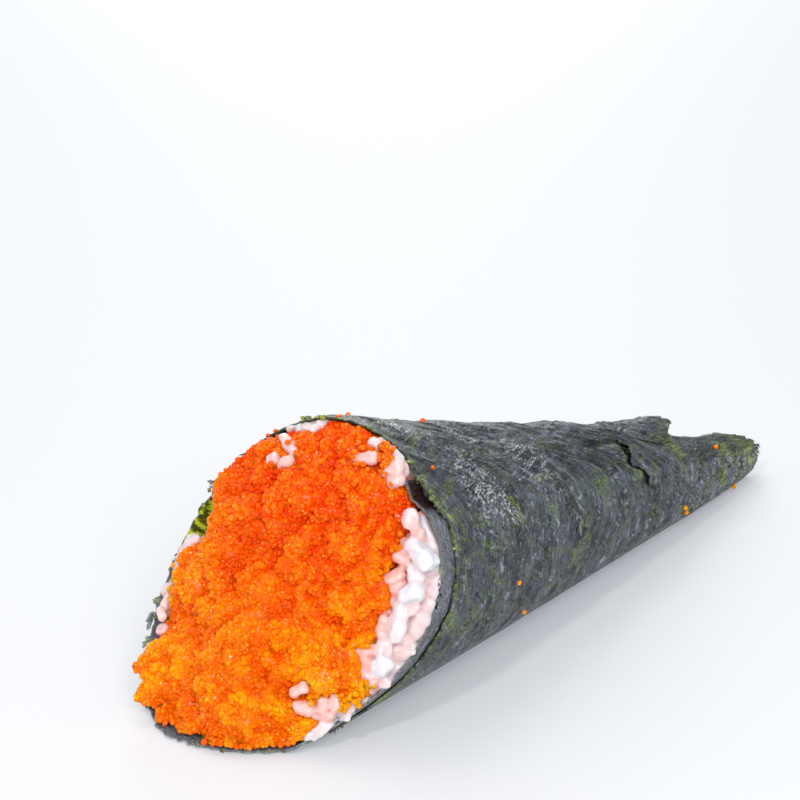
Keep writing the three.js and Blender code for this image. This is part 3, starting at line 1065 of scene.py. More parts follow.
def joining_tree() -> Tree:
    """Builds the tree that adds another object's mesh to the one it runs on.

    Returns:
        The tree.
    """
    net = ShapeNet("joined", {"Other": Piece})
    other = net.add("GeometryNodeObjectInfo", {"Object": net.given["Other"]}).outputs["Geometry"]
    both = net.add("GeometryNodeJoinGeometry", {0: net.given["Geometry"]})
    net.tree.links.new(other, both.inputs[0])
    return net.finish(both.outputs[0])


def fusing_tree() -> Tree:
    """Builds the tree that softens a fused mass and gives it back the values of what was fused.

    Returns:
        The tree. It reads "tone" and "pink" from the nearest place on its "Source".
    """
    net = ShapeNet("fused", {"Source": Piece, "Rounds": 3})
    source = net.add("GeometryNodeObjectInfo", {"Object": net.given["Source"]}).outputs["Geometry"]
    shape = net.given["Geometry"]
    for name in ("tone", "pink"):
        wires = {"Mesh": source, "Value": net.value(name)}
        shape = net.keep(shape, name, net.first("GeometryNodeSampleNearestSurface", wires))
    wires = {"Value": net.first("GeometryNodeInputPosition"), "Iterations": net.given["Rounds"]}
    soft = net.first("GeometryNodeBlurAttribute", wires, {"data_type": "FLOAT_VECTOR"})
    return net.finish(net.first("GeometryNodeSetPosition", {"Geometry": shape, "Position": soft}))


def fused(
    first: Piece, second: Piece, name: str, voxel: float, rounds: int, finish: Material
) -> Piece:
    """Makes one closed skin round two meshes of overlapping grains.

    Args:
        first: One mesh. It is removed.
        second: The other mesh. It is removed.
        name: The new piece's name.
        voxel: The size of the skin's faces.
        rounds: How often the skin is smoothed.
        finish: Its material.

    Returns:
        The new object.
    """
    joined = grown(first, joining_tree(), "joined_grains", {"Other": second, "Finish": finish})
    blank = linked("fused_blank", joined.data.copy())
    skin = blank.modifiers.new("skin", "REMESH")
    skin.mode = "VOXEL"
    skin.voxel_size = voxel
    return grown(blank, fusing_tree(), name, {"Source": joined, "Rounds": rounds, "Finish": finish})


def egg_shape() -> Piece:
    """Makes a round egg of one millimetre.

    Returns:
        The object, shaded smoothly.
    """
    form = bmesh.new()
    bmesh.ops.create_icosphere(form, subdivisions=2, radius=0.5 * MM)
    mesh = bpy.data.meshes.new("egg_shape")
    form.to_mesh(mesh)
    form.free()
    return smooth(linked("egg_shape", mesh))


def grain_shape(sides: int = 10, rows: int = 8) -> Piece:
    """Makes a grain of cooked rice, one millimetre long and thick, a little bent.

    Args:
        sides: How many points go round it.
        rows: How many rings it has.

    Returns:
        The object.
    """
    turns = np.arange(sides) / sides * FULL_TURN
    flat_sided = 0.94 / (np.abs(np.cos(turns + 0.5)) ** 3.6 + np.abs(np.sin(turns + 0.5)) ** 3.6) ** (1 / 3.6)
    ring = np.stack([np.cos(turns), np.zeros(sides), np.sin(turns)], axis=-1) * flat_sided[:, None]
    rings = []
    for along in np.linspace(-0.46, 0.46, rows):
        radius = 0.5 * (1.0 - abs(2.0 * along) ** 4.0) ** 0.5 * (1.0 + 0.3 * along)
        middle = np.array([0.22 * (0.25 - along**2), along, 0.0])
        rings.append(middle + radius * ring)
    return ringed_solid(np.array([0.0, -0.5, 0.0]), rings, np.array([0.0, 0.5, 0.0])).piece("grain_shape")


def shred_shape() -> Piece:
    """Makes a pointed flake, one millimetre each way."""
    ring = np.array([[0.5, 0.1, 0.0], [0.0, 0.0, 0.5], [-0.5, -0.1, 0.1], [0.0, 0.05, -0.5]])
    return ringed_solid(np.array([0.1, -0.5, 0.1]), [ring], np.array([-0.1, 0.5, 0.2])).piece("shred_shape")


@dataclass(frozen=True)
class SeaweedFinish:
    """Dried seaweed: slate with moss-green areas and bright fibres, painted highlights on ridges, painted
    shade in creases and under edges, painted glints and a painted glow.
    """

    deep: Colour = linear(46, 51, 57)
    slate: Colour = linear(80, 87, 98)
    # pale is a painted highlight on the ridges and folds; shade is painted shade in the creases and folds.
    pale: Colour = linear(190, 198, 212)
    # A paler lilac grey, painted light for the inner layer's shaded front strip.
    plain: Colour = linear(166, 165, 180)
    shade: Colour = linear(12, 14, 15)
    olive: Colour = linear(74, 92, 36)
    fleck: Colour = linear(146, 172, 76)
    glint: Colour = linear(236, 240, 242)
    # moss and lit make the painted glow where light shines through the thin sheet.
    moss: Colour = linear(62, 84, 0)
    lit: Colour = linear(206, 226, 40)
    # A dark red-brown painted shade for inside the pocket.
    pocket_shade: Colour = linear(40, 8, 4)
    # A near-black painted shadow, for the sheet under an edge, in the crack and under raised pieces.
    shadow_tone: Colour = linear(8, 9, 8)

    def material(self) -> Material:
        """Builds the material.

        Returns:
            The material. It follows the sheet's own "flat" and "folds" coordinates.
        """
        net = FinishNet("seaweed")
        flat, folds = net.vector("flat"), net.vector("folds")
        cloud = net.noise(flat, 1 / 9.0, 4.0, 1.0)
        mottle = net.noise(flat, 1 / 4.2, 5.0, 5.0, 1.2)
        crumple = net.noise(flat, 1 / 2.0, 5.0, 17.0, 1.4)
        fine = net.noise(flat, 1 / 0.45, 3.0, 9.0)
        fold_shading = net.noise(net.stretched(folds, (1 / 2.0, 1 / 6.0, 1.0)), 1.0, 5.0, 2.0, 2.2)
        furrow = net.stretched(folds, (1 / 3.6, 1 / 8.0, 1.0))
        crease = net.line(net.noise(furrow, 1.0, 4.0, 22.0, 2.4), 0.035)
        fibre = net.line(net.noise(flat, 1 / 1.7, 3.0, 12.0, 1.6), 0.03)
        rough, moss = net.value("rough"), net.value("moss")
        colour = net.blend(net.step(cloud, 0.38, 0.62), self.deep, self.slate)
        # Painted shade and painted highlights along the folds, then across the crumples, then painted shade
        # in the creases.
        colour = net.blend(net.step(fold_shading, 0.46, 0.34, 0.0, 0.6), colour, self.shade)
        colour = net.blend(net.step(fold_shading, 0.55, 0.7, 0.0, 0.5), colour, self.pale)
        colour = net.blend(net.step(crumple, 0.44, 0.31, 0.0, 0.8), colour, self.shade)
        colour = net.blend(net.step(crumple, 0.56, 0.72, 0.0, 0.5), colour, self.pale)
        colour = net.blend(net.product(crease, 0.7), colour, self.shade)
        # Painted light: the inner layer's front strip, which lies in shade, is made a paler lilac grey.
        plain = net.product(net.value("plain"), net.step(fine, 0.2, 0.6, 0.35, 0.8))
        colour = net.blend(plain, colour, self.plain)
        green = net.product(net.step(mottle, 0.5, 0.57), moss)
        colour = net.blend(net.product(green, net.step(crumple, 0.35, 0.55, 0.85, 0.4)), colour, self.olive)
        thread = net.math("MAXIMUM", fibre, net.step(fine, 0.56, 0.64))
        colour = net.blend(net.product(thread, net.step(mottle, 0.5, 0.57), moss, 0.9), colour, self.fleck)
        # Painted glints: white specks on the rough areas, where the same value also deepens the bump.
        glint = net.product(net.step(fine, 0.48, 0.58), net.step(crumple, 0.46, 0.54), rough)
        colour = net.blend(glint, colour, self.glint)
        broken = net.step(net.noise(flat, 1 / 3.0, 3.0, 27.0), 0.42, 0.58, 0.15, 0.9)
        edge = net.product(net.value("edge"), net.step(fine, 0.3, 0.6), broken)
        hem = net.blend(net.step(mottle, 0.4, 0.6), self.olive, self.fleck)
        colour = net.blend(edge, colour, hem)
        # Painted glow: yellow-green, also emitted, where light shines through the thin sheet.
        leaf = net.noise(flat, 1 / 1.7, 4.0, 7.0, 1.0)
        green = net.blend(net.step(leaf, 0.44, 0.6), self.moss, self.lit)
        colour = net.blend(net.value("lit"), colour, green)
        # Painted shadow under the outer layer's edge, in the crack and on the underside of raised pieces.
        colour = net.blend(net.value("dark"), colour, self.shadow_tone)
        # Painted shade: dark red-brown inside the pocket.
        colour = net.blend(net.value("hollow"), colour, self.pocket_shade)
        relief = net.total(net.product(fine, 0.2), net.product(fibre, 0.15), net.product(fold_shading, 1.0))
        relief = net.total(relief, net.product(crumple, net.total(rough, 0.9)), net.product(crease, -0.35))
        net.bump(relief, 0.85, 1.0)
        return net.dress(
            {
                "Base Color": colour,
                "Roughness": net.step(fine, 0.3, 0.7, 0.24, 0.42),
                "Specular IOR Level": 0.65,
                # The painted glow is also emitted.
                "Emission Color": (*self.lit, 1.0),
                "Emission Strength": net.product(net.value("lit"), net.step(leaf, 0.44, 0.6, 0.02, 0.3)),
            }
        )


@dataclass(frozen=True)
class RiceFinish:
    """Cooked rice: wet, white and a little see-through, pink where it touches the roe."""

    white: Colour = linear(214, 219, 225)
    cream: Colour = linear(217, 209, 212)
    pink: Colour = linear(238, 160, 142)

    def material(self) -> Material:
        """Builds the material.

        Returns:
            The material.
        """
        net = FinishNet("cooked_rice")
        spot = net.place()
        colour = net.blend(net.value("tone"), self.white, self.cream)
        uneven = net.step(net.noise(spot, 1 / 1.6, 2.0), 0.25, 0.6, 0.6, 1.0)
        stain = net.math("MULTIPLY", net.value("pink"), uneven)
        colour = net.blend(stain, colour, self.pink)
        net.bump(net.noise(spot, 1 / 0.9, 3.0, 2.0), 0.16, 0.5)
        return net.dress(
            {
                "Base Color": colour,
                "Roughness": net.step(net.noise(spot, 1 / 1.1, 2.0, 5.0), 0.3, 0.7, 0.1, 0.24),
                "IOR": 1.42,
                "Subsurface Weight": 0.9,
                "Subsurface Radius": (1.0, 0.75, 0.65),
                "Subsurface Scale": 0.0028,
            }
        )


class RoeTone(Enum):
    """The colour of an egg low in the heap and at its top, where painted shading makes it paler low down and
    redder at the top.
    """

    AMBER = (linear(249, 162, 0), linear(248, 110, 0))
    ORANGE = (linear(248, 146, 0), linear(244, 92, 0))
    DEEP = (linear(244, 130, 0), linear(230, 70, 0))


@dataclass(frozen=True)
class RoeFinish:
    """Wet fish roe that light shines into, with painted shade redder between the lumps and painted shading
    redder at the top of the heap.
    """

    tone: RoeTone
    # red is the painted shade for the heap's valleys.
    red: Colour = linear(222, 44, 0)
    gold: Colour = linear(252, 166, 0)
    # A painted highlight: small yellow-white sparkle dots.
    glint: Colour = linear(255, 210, 120)

    def material(self) -> Material:
        """Builds the material.

        Returns:
            The material.
        """
        net = FinishNet(f"roe_{self.tone.name.lower()}")
        light, deep = self.tone.value
        spot = net.place()
        parts = net.add("ShaderNodeSeparateXYZ", {0: spot}).outputs
        # Painted shading: deeper red towards the top of the heap, paler low down.
        height = net.math("SUBTRACT", parts["Z"], net.product(net.math("ABSOLUTE", parts["X"]), 0.45))
        cloud = net.product(net.math("SUBTRACT", net.noise(spot, 1 / 5.0, 3.0), 0.5), 34.0)
        upper = net.step(net.math("ADD", height, cloud), -2.0, 36.0)
        colour = net.blend(upper, light, deep)
        colour = net.blend(net.product(net.value("tone"), 0.25), colour, self.gold)
        # Painted shade: redder in the heap's valleys; on the stray eggs the same value is random.
        colour = net.blend(net.product(net.value("valley"), 0.6), colour, self.red)
        # Painted highlights: small yellow-white sparkle dots scattered over the eggs.
        glint_dots = net.add("ShaderNodeTexVoronoi", {"Vector": spot, "Scale": 1 / 1.05}).outputs["Distance"]
        colour = net.blend(net.step(glint_dots, 0.08, 0.16, 0.75, 0.0), colour, self.glint)
        return net.dress(
            {
                "Base Color": colour,
                "Roughness": net.step(net.noise(spot, 1 / 0.9, 2.0, 3.0), 0.3, 0.7, 0.06, 0.16),
                "IOR": 1.4,
                "Specular IOR Level": 0.24,
                "Subsurface Weight": 0.85,
                "Subsurface Radius": (1.0, 0.45, 0.08),
                "Subsurface Scale": 0.0006,
            }
        )


@dataclass(frozen=True)
class FloorFinish:
    """A matt pale floor, lit from below."""

    colour: Colour = linear(197, 197, 194)
    cloudy: Colour = linear(192, 192, 191)
    glow: Colour = (0.82, 0.86, 1.0)
    strength: float = 0.25

    def material(self) -> Material:
        """Builds the material.

        Returns:
            The material, which glows a little as a lit table does.
        """
        net = FinishNet("pale_floor")
        cloud = net.noise(net.place(), 1 / 90.0, 2.0)
        colour = net.blend(net.math("MULTIPLY", cloud, 0.12), self.colour, self.cloudy)
        return net.dress(
            {
                "Base Color": colour,
                "Roughness": 0.65,
                "Specular IOR Level": 0.2,
                "Emission Color": (*self.glow, 1.0),
                "Emission Strength": self.strength,
            }
        )


def smooth(piece: Piece, sharpest: float = 180.0) -> Piece:
    """Shades a piece smoothly.

    Args:
        piece: The piece.
        sharpest: The angle in degrees past which an edge stays sharp.

    Returns:
        The piece.
    """
    piece.data.shade_smooth()
    if sharpest < 180.0:
        piece.data.set_sharp_from_angle(angle=math.radians(sharpest))
    return piece


def keep_in_box(piece: Piece) -> None:
    """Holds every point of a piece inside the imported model's box."""
    move_points(piece, np.clip(points_of(piece), *(np.array(corner) for corner in PACKED_BOX)))


def fitted(piece: Piece, node: str) -> Piece:
    """Ends a piece: it stays in the box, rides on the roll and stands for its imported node.

    Args:
        piece: The finished mesh.
        node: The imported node, whose material slot has the same name.

    Returns:
        The piece.
    """
    keep_in_box(piece)
    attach(piece, "root")
    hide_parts(node)
    LOG.info("%s: %d faces", piece.name, len(piece.data.polygons))
    return piece


@dataclass(frozen=True)
class Tuft:
    """A few shreds together: their angle in degrees, distance behind the edge, count, spread and length."""

    at: float
    behind: float
    count: int
    spread: float
    length: float


TUFTS = tuple(
    Tuft(*row)
    for row in (
        (-154, 0.3, 12, 0.8, 1.7), (-149, 0.2, 10, 0.7, 1.9), (-142, 0.2, 12, 0.8, 1.6),
        (-137, 0.2, 8, 0.7, 1.4), (46, 0.7, 18, 1.2, 0.8), (40, 0.8, 18, 1.2, 0.9),
        (34, 0.6, 14, 1.0, 0.8), (164, 0.0, 6, 1.3, 1.3), (114, 0.2, 14, 1.8, 1.2),
        (106, 0.2, 8, 1.2, 1.1), (31, 0.4, 8, 0.8, 1.6), (-28, 1.2, 14, 1.5, 1.0),
        (-39, 7.0, 10, 0.8, 1.0), (-57, 1.0, 10, 1.2, 1.1), (-106, 0.0, 10, 1.5, 1.7),
        (25, 135.0, 10, 1.1, 1.8), (5, 137.0, 8, 1.1, 1.7),
    )
)


@dataclass
class Seaweed:
    """The rolled sheet, its torn layer, the raised edge of its crack, and its shreds."""

    lay: SheetLay
    material: Material
    wrinkles: Tree
    thick: float = 0.36
    thin: float = 0.26
    rows: int = 190
    ragged: float = 0.75
    ragged_tip: float = 0.8
    free_edge: float = 0.05
    torn_sides: tuple[float, float] = (math.radians(17), math.radians(146))
    torn_step: float = math.radians(62)
    torn_back: float = 92.0
    flap: float = 36.8
    flap_rise: float = 1.0
    flap_slant: float = 4.5
    crack: tuple[tuple[float, float], ...] = (
        (17, 61.2), (20, 63.5), (32, 63.6), (38, 67.3), (46, 66.3), (55, 66.4), (66, 65.8),
    )
    crack_width: float = 1.4
    lip_length: float = 9.0
    lip_rise: float = 0.95
    lip_thick: float = 0.2
    lip_sides: tuple[float, float] = (math.radians(15), math.radians(68))
    pressed: tuple[float, float] = (-0.85, -0.35)
    # Rough areas with painted glints: angle in degrees, distance from the tip and size.
    glint_patches: Spots = (
        (50, 122, 5.0), (40, 121, 5.5), (31, 119, 4.5), (61, 101, 5.0), (49, 100, 5.0), (80, 128, 5.0),
        (74, 112, 4.0), (80, 55, 3.5),
    )
    greens: Spots = (
        (30, 6.0, 4.0), (0, 5.0, 4.0), (-20, 9.0, 3.0), (52, 17.0, 5.0), (38, 44.0, 4.0),
        (60, 46.0, 4.0), (28, 115.3, 3.6), (25, 101.8, 3.0), (33, 80.6, 3.2), (58, 91.7, 3.0),
        (13, 127.6, 2.6), (9, 138.3, 3.0), (2, 91.0, 2.4), (0, 124.8, 2.6), (-12, 94.1, 3.0),
        (3, 72.6, 2.4), (46, 59.7, 3.0), (46, 102.8, 3.4), (44, 97.3, 2.2), (20, 83.2, 2.4),
        (18, 103.3, 3.4), (11, 104.2, 2.6), (-21, 92.7, 2.6), (-22, 99.1, 2.4), (-25, 103.6, 2.4),
        (-39, 145.1, 3.0), (44, 142.0, 4.5), (34, 137.0, 4.0), (20, 134.0, 3.0), (40, 30.0, 6.0),
    )
    # Spots of painted glow on the outer layer: angle in degrees, distance from the tip and size.
    bright: Spots = ((52, 20.7, 2.6), (64, 12.3, 2.2), (26, 8.5, 3.0), (0, 26.2, 1.8), (56, 41.3, 2.4))
    tufts: tuple[Tuft, ...] = TUFTS

    def near(self, spots: Spots, angle: Array, y: Array) -> Array:
        """Works out how near places are to some spots.

        Args:
            spots: Each spot's angle in degrees, distance from the tip and size.
            angle: The places' angles, from minus to plus half a turn.
            y: The places along the roll.

        Returns:
            1 in a spot's middle, falling off by its size.
        """
        radius, distance = self.lay.form.half_width(y), self.lay.form.tip_y - y
        nearest = np.zeros_like(y)
        for degrees, place, size in spots:
            apart = np.hypot((angle - math.radians(degrees)) * radius, distance - place)
            nearest = np.maximum(nearest, np.exp(-((apart / size) ** 2)))
        return nearest

    def values(self, turn: Array, y: Array, from_edge: Array) -> Values:
        """Works out what the wrinkles and the finish read.

        Args:
            turn: The turn along the sheet at each point.
            y: The place along the roll.
            from_edge: The distance behind the nearest free edge.

        Returns:
            The values by name.
        """
        turn, y, from_edge = np.broadcast_arrays(turn, y, from_edge)
        angle = self.lay.start - turn
        wrapped = np.arctan2(np.sin(angle), np.cos(angle))
        layer, inner = self.lay.layer(turn), self.lay.inner(turn)
        distance = self.lay.form.tip_y - y
        by_tip = 1.0 - eased(distance, 30.0, 75.0)
        by_edge = 1.0 - eased(from_edge, 4.0, 22.0)
        moss = np.maximum(0.3 + 0.45 * by_tip + 0.35 * by_edge, 1.4 * self.near(self.greens, wrapped, y))
        # Painted glints on the listed areas and more near the tip; the same value deepens the bump.
        rough = np.maximum(self.near(self.glint_patches, wrapped, y), 0.35 - 0.35 * eased(distance, 20.0, 60.0))
        loose = eased(np.sin(angle), *self.pressed) * (1.0 - 0.8 * layer)
        return {
            "flat": self.lay.unrolled(turn, y) + 90.0 * layer[..., None],
            "folds": self.lay.folds(turn, y),
            "loose": loose * eased(from_edge, -0.5, 3.0),
            "rough": rough * (1.0 - layer),
            "moss": np.clip(moss, 0.0, 1.0) * (1.0 - 0.75 * inner),
            "edge": 0.75 * np.exp(-np.maximum(from_edge, 0.0) / 0.9) * (1.0 - 0.6 * inner),
            # Painted light on the inner layer's front strip.
            "plain": 0.55 * inner * (1.0 - eased(from_edge, 3.0, 8.0)),
            # Painted glow where light shines through the sheet.
            "lit": 0.4 * self.near(self.bright, wrapped, y) * (1.0 - layer),
            "dark": np.zeros_like(y),
            "hollow": np.zeros_like(y),
        }

    def crack_at(self, angle: Array) -> Array:
        """Works out the crack's distance from the tip.

        Args:
            angle: The angle round the roll.

        Returns:
            The distance there.
        """
        degrees, distances = np.array(self.crack).T
        torn = 0.35 * jagged(angle * TORN_RADIUS, Tear.CRACK)
        return np.interp(np.degrees(angle), degrees, distances) + torn

    def solid(
        self, name: str, angle: Array, y: Array, inset: Array, thick: float,
        values: Values, inner_values: Values,
    ) -> Piece:
        """Makes a wrinkled piece of sheet.

        Args:
            name: The piece's name.
            angle: The angle round the roll at each point.
            y: The place along it.
            inset: How far the outer face lies inside the roll's outline.
            thick: The sheet's thickness.
            values: Values at the points.
            inner_values: Values that the inner face has instead.

        Returns:
            The piece.
        """
        outer = self.lay.form.point(angle, y, inset)
        inner = self.lay.form.point(angle, y, inset + thick)
        away = outer - inner
        values["out"] = away / np.maximum(np.linalg.norm(away, axis=-1, keepdims=True), 1e-6)
        blank = thin_solid(outer, inner, values, inner_values).piece("blank")
        sizes = {"Fold depth": 0.0026, "Wrinkle depth": 0.0038, "Seed": 3.0, "Finish": self.material}
        return fitted(smooth(grown(blank, self.wrinkles, name, sizes), 50.0), "nori")

    def patch(
        self, name: str, angle: Array, y: Array, lift: Array, thick: float, values: Values
    ) -> Piece:
        """Makes a piece of sheet that lies on the rolled one.

        Args:
            name: The piece's name.
            angle: The angle round the roll at each point.
            y: The place along it.
            lift: How far it stands off the roll.
            thick: Its thickness.
            values: Values at the points.

        Returns:
            The piece, with painted shade on its underside.
        """
        values["loose"] = np.broadcast_to(eased(np.sin(angle), *self.pressed), y.shape)
        inset = -lift - self.lay.form.ripple(angle, y)
        # The underside gets painted shade.
        return self.solid(name, angle, y, inset, thick, values, {"dark": 1.0})

    def front(self, turn: Array) -> Array:
        """Works out the sheet's ragged front edge.

        Args:
            turn: The turn along the sheet.

        Returns:
            The edge's place along Y.
        """
        rim = turn * RIM_RADIUS
        torn = 1.0 + 0.55 * jagged(rim, Tear.RIM_FINE) + 0.45 * jagged(rim, Tear.RIM_COARSE)
        return self.lay.front(turn) + self.ragged * torn

    def sheet(self, name: str, first: float, last: float, columns: int) -> Piece:
        """Makes a stretch of the rolled sheet.

        Args:
            name: The piece's name.
            first: The turn at which it starts.
            last: The turn at which it ends.
            columns: How many points it has from first to last.

        Returns:
            The piece.
        """
        turn = np.linspace(first, last, columns)[:, None]
        angle = self.lay.start - turn
        front = self.front(turn)
        end = self.lay.end(turn) - self.ragged_tip * np.abs(jagged(turn * TIP_RADIUS, Tear.TIP))
        y = mixed(front, end, np.linspace(0.0, 1.0, self.rows)[None, :])
        outermost = eased(turn, 4.6, 5.4)
        inset = self.lay.inset(turn, y) - self.free_edge * outermost * np.exp(-(y - front) / 1.6)
        values = self.values(turn, y, y - front)
        over = self.front(turn + FULL_TURN)
        covered = turn <= self.lay.total - FULL_TURN
        # Painted shadow on the inner layer just in front of the outer layer's edge.
        under = covered * eased(y - over, -0.02, 0.12) * eased(angle, -1.1, -0.6)
        distance = self.lay.form.tip_y - y
        beside = np.abs(distance - self.crack_at(angle + FULL_TURN) + 0.5 * self.crack_width)
        degrees = np.degrees(angle + FULL_TURN)
        spread = eased(degrees, 14, 18) * (1.0 - eased(degrees, 64, 70))
        lens = np.exp(-(((turn - self.lay.pocket_at) / self.lay.pocket_half) ** 2))
        # Painted shade inside the pocket where the sheet's front edge opens.
        pocket = (turn < 1.0) * eased(lens, 0.2, 0.5) * eased(y - front, 0.0, 0.4)
        # Painted shadow in the crack's gap, and in front of the outer layer's edge.
        values["dark"] = np.maximum(under, spread * outermost * (1.0 - eased(beside, 0.9, 1.3)))
        values["hollow"] = np.broadcast_to(pocket, y.shape)
        # Painted glow along the outer layer's edge near 37 degrees, and on the inner face of the left side.
        edge_glow = outermost * (1.0 - eased(np.abs(degrees - 37.0), 7.0, 14.0))
        values["lit"] = np.maximum(values["lit"], 0.3 * edge_glow * (1.0 - eased(y - front, 0.7, 3.0)))
        leftward = np.abs(np.arctan2(np.sin(angle - math.pi), np.cos(angle - math.pi)))
        lit = (1.0 - eased(leftward, 0.16, 0.3)) * (1.0 - eased(y - front, 8.0, 14.0))
        return self.solid(name, angle, y, inset, self.thick, values, {"lit": lit})

    def torn(self) -> Piece:
        """Makes the torn layer, from its back to the crack and its flap.

        Returns:
            The piece.
        """
        low, high = self.torn_sides
        angle = np.linspace(high, low, 120)[:, None]
        along, step = np.linspace(0.0, 1.0, 80)[None, :], self.torn_step
        around = angle * TORN_RADIUS
        flap = self.flap + 1.1 * jagged(around, Tear.FLAP_FINE) + 0.9 * jagged(around, Tear.FLAP_COARSE)
        flap = flap + self.flap_slant * (1.0 - eased(angle, step, step + 0.42))
        edge = mixed(self.crack_at(angle), flap, eased(angle, step - 0.06, step + 0.1))
        y = self.lay.form.tip_y - mixed(self.torn_back, edge, along)
        sides = eased(angle, low, low + 0.25) * (1.0 - eased(angle, high - 0.5, high))
        on_top = eased(angle, step + 0.02, step + 0.55)
        form, distance = self.lay.form, self.lay.form.tip_y - y
        drop = form.tear_drop * (1.0 - eased(distance, *form.tear_span))
        rise = drop + self.flap_rise * (1.0 - eased(distance, self.flap + 1.0, self.flap + 13.0))
        lift = sides * mixed(0.4 * along**2, rise + 0.3 * along, on_top) - 0.12
        lift = lift - 0.3 * (1.0 - sides * eased(along, 0.0, 0.1))
        values = self.values(self.lay.start - angle + FULL_TURN, y, form.tip_y - edge - y)
        values["moss"] = values["moss"] * mixed(1.0, 0.5, on_top)
        values["edge"] = values["edge"] * mixed(1.0, 0.4, on_top)
        return self.patch("nori_torn_layer", angle, y, lift, self.thin, values)

    def crack_lip(self) -> Piece:
        """Makes the raised edge on the other side of the crack.

        Returns:
            The piece.
        """
        low, high = self.lip_sides
        angle = np.linspace(high, low, 90)[:, None]
        along = np.linspace(0.0, 1.0, 28)[None, :]
        ends = eased(angle, low, math.radians(24)) * (1.0 - eased(angle, math.radians(58), high))
        wide = 0.6 + 0.7 * eased(angle, math.radians(38), math.radians(58))
        uneven = 1.0 + 0.3 * jagged(angle * TORN_RADIUS, Tear.LIP_RISE)
        width = self.crack_width * (wide + 0.35 * jagged(angle * TORN_RADIUS, Tear.LIP_WIDTH)) * ends
        edge = self.crack_at(angle) - width
        y = self.lay.form.tip_y - edge + self.lip_length * along
        lift = self.lip_rise * ends * uneven * (1.0 - along) ** 1.4 - 0.1
        values = self.values(self.lay.start - angle + FULL_TURN, y, 1.0 + self.lip_length * along)
        return self.patch("nori_crack_lip", angle, y, lift, self.lip_thick, values)

    def shreds(self, strewing: Tree) -> Piece:
        """Makes the shreds that stand off the front edge.

        Args:
            strewing: The tree that strews them.

        Returns:
            The piece.
        """
        turn = np.linspace(math.radians(20), math.radians(430), 300)[:, None]
        y = self.lay.front(turn) + np.array([[0.3, 1.6]])
        points = self.lay.form.point(self.lay.start - turn, y, self.lay.inset(turn, y) + 0.05)
        faces = [(2 * i, 2 * i + 1, 2 * i + 3, 2 * i + 2) for i in range(len(turn) - 1)]
        values = self.values(turn, y, y - self.lay.front(turn))
        values["edge"] = values["moss"] = np.ones_like(y)
        cover = 0.15 + 0.85 * (jagged(turn * RIM_RADIUS, Tear.SHREDS) > 0.1)
        values["cover"] = np.broadcast_to(cover, y.shape)
        flat = {key: value.reshape(-1, *value.shape[2:]) for key, value in values.items()}
        ribbon = GridMesh(points.reshape(-1, 3), faces, flat).piece("ribbon")
        sizes = {
            "Shape": shred_shape(),
            "Size": (0.5, 1.4, 0.14),
            "Spacing": 0.0006,
            "Density": 2.5e6,
            "Uneven": 0.5,
            "Lowest": -0.0001,
            "Highest": 0.0002,
            "Tilt": 0.35,
            "Seed": 12,
            "Finish": self.material,
        }
        return fitted(grown(ribbon, strewing, "nori_shreds", sizes), "nori")

    def ragged_tufts(self, laying: Tree) -> Piece:
        """Makes the tufts of shreds along the edges and the crumbs on the sheet.

        Args:
            laying: The tree that lays the shreds.

        Returns:
            The piece.
        """
        random = np.random.default_rng(52)
        table = np.array([[t.at, t.behind, t.spread, t.length] for t in self.tufts for _ in range(t.count)])
        degrees, behind, spread, length = table.T
        count = len(table)
        angle = np.radians(degrees) + random.normal(0.0, 0.5, count) * spread / 24.0
        first = np.mod(self.lay.start - angle, FULL_TURN)
        turn = np.where(first + FULL_TURN > self.lay.total, first, first + FULL_TURN)
        y = self.lay.front(turn) + behind + random.normal(0.0, 0.4, count) * spread
        y = np.minimum(y, self.lay.end(turn) + 0.4)
        inset = self.lay.inset(turn, y) - random.uniform(-0.1, 0.25, count)
        points = self.lay.form.point(angle, y, inset)
        values = self.values(turn, y, np.zeros(count))
        away = np.stack([np.cos(angle), -0.8 * np.ones(count), np.sin(angle)], axis=-1)
        values["axis"] = away * 0.7 + random.normal(0.0, 0.5, (count, 3))
        size = np.stack([0.6 * length, length, 0.2 * length], axis=-1)
        values["size"] = size * random.uniform(0.6, 1.3, (count, 1))
        values["moss"] = np.ones(count)
        values["edge"] = random.uniform(0.0, 0.6, count)
        # Painted glow on tufts on the left side and far back by the tip.
        values["lit"] = random.uniform(0.0, 0.5, count) * ((np.cos(angle) < -0.2) | (behind > 100.0))
        places = GridMesh(points, [], values).piece("tuft_places")
        sizes = {"Shape": shred_shape(), "Finish": self.material}
        return fitted(grown(places, laying, "nori_tufts", sizes), "nori")


@dataclass(frozen=True)
class LaidGrain:
    """A grain that shows at the mouth: its two ends across and up, its width, stain and lift."""

    x_from: float
    z_from: float
    x_to: float
    z_to: float
    width: float
    pink: float
    lift: float = 0.0


